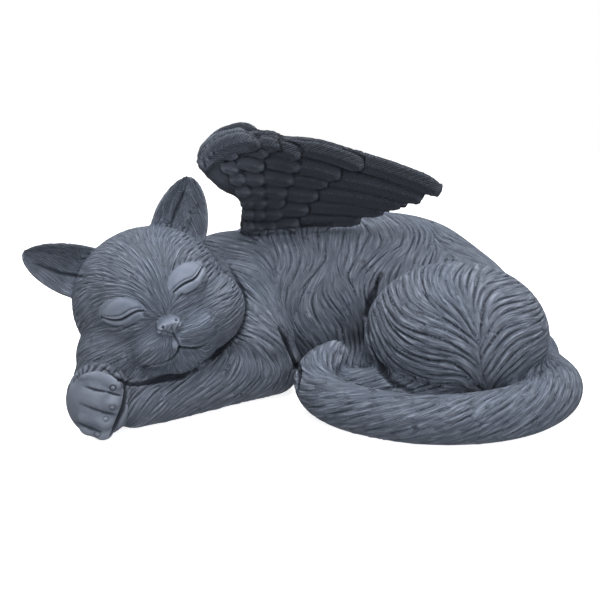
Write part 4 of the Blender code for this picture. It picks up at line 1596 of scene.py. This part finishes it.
STONE = (0.131, 0.150, 0.191, 1.0)
STONE_COOL = (0.112, 0.134, 0.177, 1.0)
# The colour of the painted shade on the wings and the ears, and of the darker paw.
PAINTED_SHADE_AND_PAW_DARK = (0.017, 0.0195, 0.026, 1.0)
# The colour of the painted shade in the grooves, the fine hair's lines, between the barbs and along feather
# rims.
PAINTED_GROOVE_SHADE = (0.014, 0.017, 0.024, 1.0)
RIDGE_PALE = (0.235, 0.262, 0.317, 1.0)
# How deep the fine hair, the barbs, the worn skin and the grain are, in metres.
HAIR_DEPTH = 0.0008
BARB_DEPTH = 0.0003
WORN_DEPTH = 0.0004
GRAIN_DEPTH = 0.00012
# How fast the painted shade in the fine hair's lines ends, and its pale crests come in and from where.
LINE_FALL = 5.5
CREST_RISE, CREST_FROM = 8.0, 1.3
# Where the painted shadow along a feather's rim starts, from its shaft (0) to its edge (1).
RIM_FROM = 0.84
# How strongly each part takes the paler colour or the darker colour of painted shade, and how much
# less pale the ridges are where the wings and ears take painted shade and the paw is darker.
RIDGE_SHADE, RIDGE_SHADE_LOST = 0.5, 0.42
CREST_SHADE = 0.4
BARB_LIGHT, BARB_SHADE = 0.08, 0.55
LINE_SHADE = 0.8
GROOVE_SHADE, DEEP_SHADE = 0.78, 0.2
# The depth of cut past which a groove's painted shade is darker still.
DEEP_FROM = 1.1


def cast_stone():
    """Dark slate grey cast stone: painted shade in the grooves, on the wings and the ears, a darker paw,
    rubbed paler along the ridges, fine grained.
    """
    stone = Shader("cast stone")
    cut = stone.attribute("cut")
    hollow = stone.attribute("hollow")
    fur = stone.attribute("fur")
    hair = stone.strands(HAIR_SETS[0]) * stone.attribute(HAIR_SETS[0] + "_share")
    for name in HAIR_SETS[1:]:
        hair = hair + stone.strands(name) * stone.attribute(name + "_share")
    # The fine hair's lines take painted shade; its crests are rubbed paler.
    line = (1.0 - hair * LINE_FALL).clamp() * fur
    crest = (hair * CREST_RISE - CREST_FROM).clamp() * fur
    feather = stone.attribute("feather")
    turns = stone.attribute("barb") * (2 * math.pi * BARB_WAVES / BARB_SPACING)
    barb = (turns + stone.noise(300.0, 2.0) * 1.2 - 2.1).wave()
    # Painted shadow along each feather's rim, where it lies over the next feather.
    painted_rim_shadow = ((stone.attribute("vane") - RIM_FROM) * 8.0).clamp() * feather
    clouds = stone.noise(22.0, 4.0)
    colour = stone.mix(((clouds - 0.4) * 4.0).clamp(), STONE, STONE_COOL)
    # Painted shade on the wings and the ears, and a darker paw; the ridges there are rubbed less pale.
    painted_shade_and_darker_paw = stone.attribute("painted_shade_and_darker_paw")
    colour = stone.mix(painted_shade_and_darker_paw, colour, PAINTED_SHADE_AND_PAW_DARK)
    ridge = (hollow * -9.0 - 0.25 + (stone.noise(160.0, 2.0) - 0.5) * 0.8).clamp()
    paler = ridge * (RIDGE_SHADE - painted_shade_and_darker_paw * RIDGE_SHADE_LOST) + crest * CREST_SHADE
    paler = paler + (barb * feather - 0.4).clamp() * BARB_LIGHT
    colour = stone.mix(paler, colour, RIDGE_PALE)
    # Painted shade: darker in cuts and hollows, in the fine hair's lines, between the barbs and along the
    # feathers' rims, and darker still in deep cuts.
    painted_shade_in_grooves = (cut * 0.9 + hollow * 4.0 - 0.1).clamp()
    for other in (line * LINE_SHADE, (barb * -BARB_SHADE).clamp() * feather, painted_rim_shadow):
        painted_shade_in_grooves = painted_shade_in_grooves.maths("MAXIMUM", other)
    deep = (cut - DEEP_FROM).clamp() * DEEP_SHADE
    colour = stone.mix(painted_shade_in_grooves * GROOVE_SHADE + deep, colour, PAINTED_GROOVE_SHADE)
    stone.vary("Base Color", colour)
    stone.vary("Roughness", 0.62 + stone.noise(90.0, 2.0) * 0.2)
    grain = stone.bump(stone.noise(1500.0, 2.0), GRAIN_DEPTH, 0.5)
    worn = stone.bump(stone.noise(240.0, 4.0, 0.6), WORN_DEPTH, 0.3, below=grain)
    strands = (hair * 4.0).clamp() * fur
    combed = stone.bump(strands, HAIR_DEPTH, 1.0, below=worn)
    stone.vary("Normal", stone.bump(barb * 0.5 * feather, BARB_DEPTH, 1.0, below=combed))
    stone.constant("Specular IOR Level", 0.12)
    return stone.material


def pale_floor():
    floor = Shader("pale floor")
    floor.constant("Base Color", (0.7, 0.7, 0.7, 1.0))
    floor.constant("Roughness", 0.9)
    floor.constant("Emission Color", (1.0, 1.0, 1.0, 1.0))
    floor.constant("Emission Strength", 0.8)
    return floor.material


# The world's glow by height: 0 at the horizon and below it, 1 straight above.
WORLD_GLOW = ((0.0, 0.6), (0.15, 0.65), (0.5, 0.76), (1.0, 0.78))
# Each lamp's name, place, target, side in metres and power in watts.
LAMPS = (
    ("overhead", (0.05, -0.1, 1.1), (0.0, 0.0, 0.05), 0.8, 17.0),
    ("left_front", (-0.9, -1.2, 0.9), (0.0, 0.0, 0.05), 0.8, 2.5),
    ("low_front", (0.5, -1.4, 0.4), (0.0, 0.0, 0.05), 1.0, 12.0),
)


def aim(obj, target):
    obj.rotation_euler = (Vector(target) - obj.location).to_track_quat("-Z", "Y").to_euler()


def soft_light(name, place, target, side, power):
    light = bpy.data.lights.new(name, "AREA")
    light.size = side
    light.energy = power
    lamp = bpy.data.objects.new(name, light)
    lamp.location = place
    aim(lamp, target)
    bpy.context.scene.collection.objects.link(lamp)


def soft_world():
    """White where the camera sees it, and a soft glow all round, a little stronger from above."""
    world = bpy.data.worlds.new("studio")
    world.use_nodes = True
    tree = world.node_tree
    back = tree.nodes["Background"]
    place = tree.nodes.new("ShaderNodeTexCoord").outputs["Generated"]
    split = tree.nodes.new("ShaderNodeSeparateXYZ")
    tree.links.new(place, split.inputs[0])
    ramp = tree.nodes.new("ShaderNodeValToRGB")
    tree.links.new(split.outputs["Z"], ramp.inputs[0])
    stops = ramp.color_ramp.elements
    for number, (height, glow) in enumerate(WORLD_GLOW):
        stop = stops[number] if number < 2 else stops.new(height)
        stop.position = height
        stop.color = (glow, glow, glow, 1.0)
    seen = tree.nodes.new("ShaderNodeLightPath").outputs["Is Camera Ray"]
    mix = tree.nodes.new("ShaderNodeMix")
    mix.data_type = "RGBA"
    tree.links.new(seen, mix.inputs["Factor"])
    tree.links.new(ramp.outputs[0], mix.inputs[6])
    mix.inputs[7].default_value = (1.0, 1.0, 1.0, 1.0)
    tree.links.new(mix.outputs[2], back.inputs["Color"])
    bpy.context.scene.world = world


def build_studio(shift):
    """A pale floor, soft light from above, and the photograph's camera."""
    bpy.ops.mesh.primitive_plane_add(size=12.0, location=(0.0, 0.0, 0.0))
    floor = bpy.context.object
    floor.name = "studio_floor"
    floor.data.materials.append(pale_floor())
    floor.visible_diffuse = False
    floor.visible_glossy = False
    soft_world()
    for lamp in LAMPS:
        soft_light(*lamp)
    camera = bpy.data.cameras.new("camera")
    camera.lens = FOCAL_PIXELS / PICTURE_SIDE * SENSOR_WIDTH
    camera.sensor_width = SENSOR_WIDTH
    viewer = bpy.data.objects.new("camera", camera)
    viewer.location = (shift[0], shift[1] - EYE_DISTANCE * UNIT, EYE_HEIGHT * UNIT)
    viewer.rotation_euler = (math.pi / 2 - EYE_TILT, 0.0, 0.0)
    bpy.context.scene.collection.objects.link(viewer)
    bpy.context.scene.camera = viewer
    bpy.context.scene.view_settings.view_transform = "Standard"


mesh, shift = make_figure(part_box("angel_cat"))
mesh.name = "angel_cat_carved"
mesh.materials.clear()
mesh.materials.append(cast_stone())
mesh.shade_smooth()
figure = bpy.data.objects.new("angel_cat_carved", mesh)
bpy.context.scene.collection.objects.link(figure)
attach(figure, "root")
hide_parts("angel_cat")
build_studio(shift)
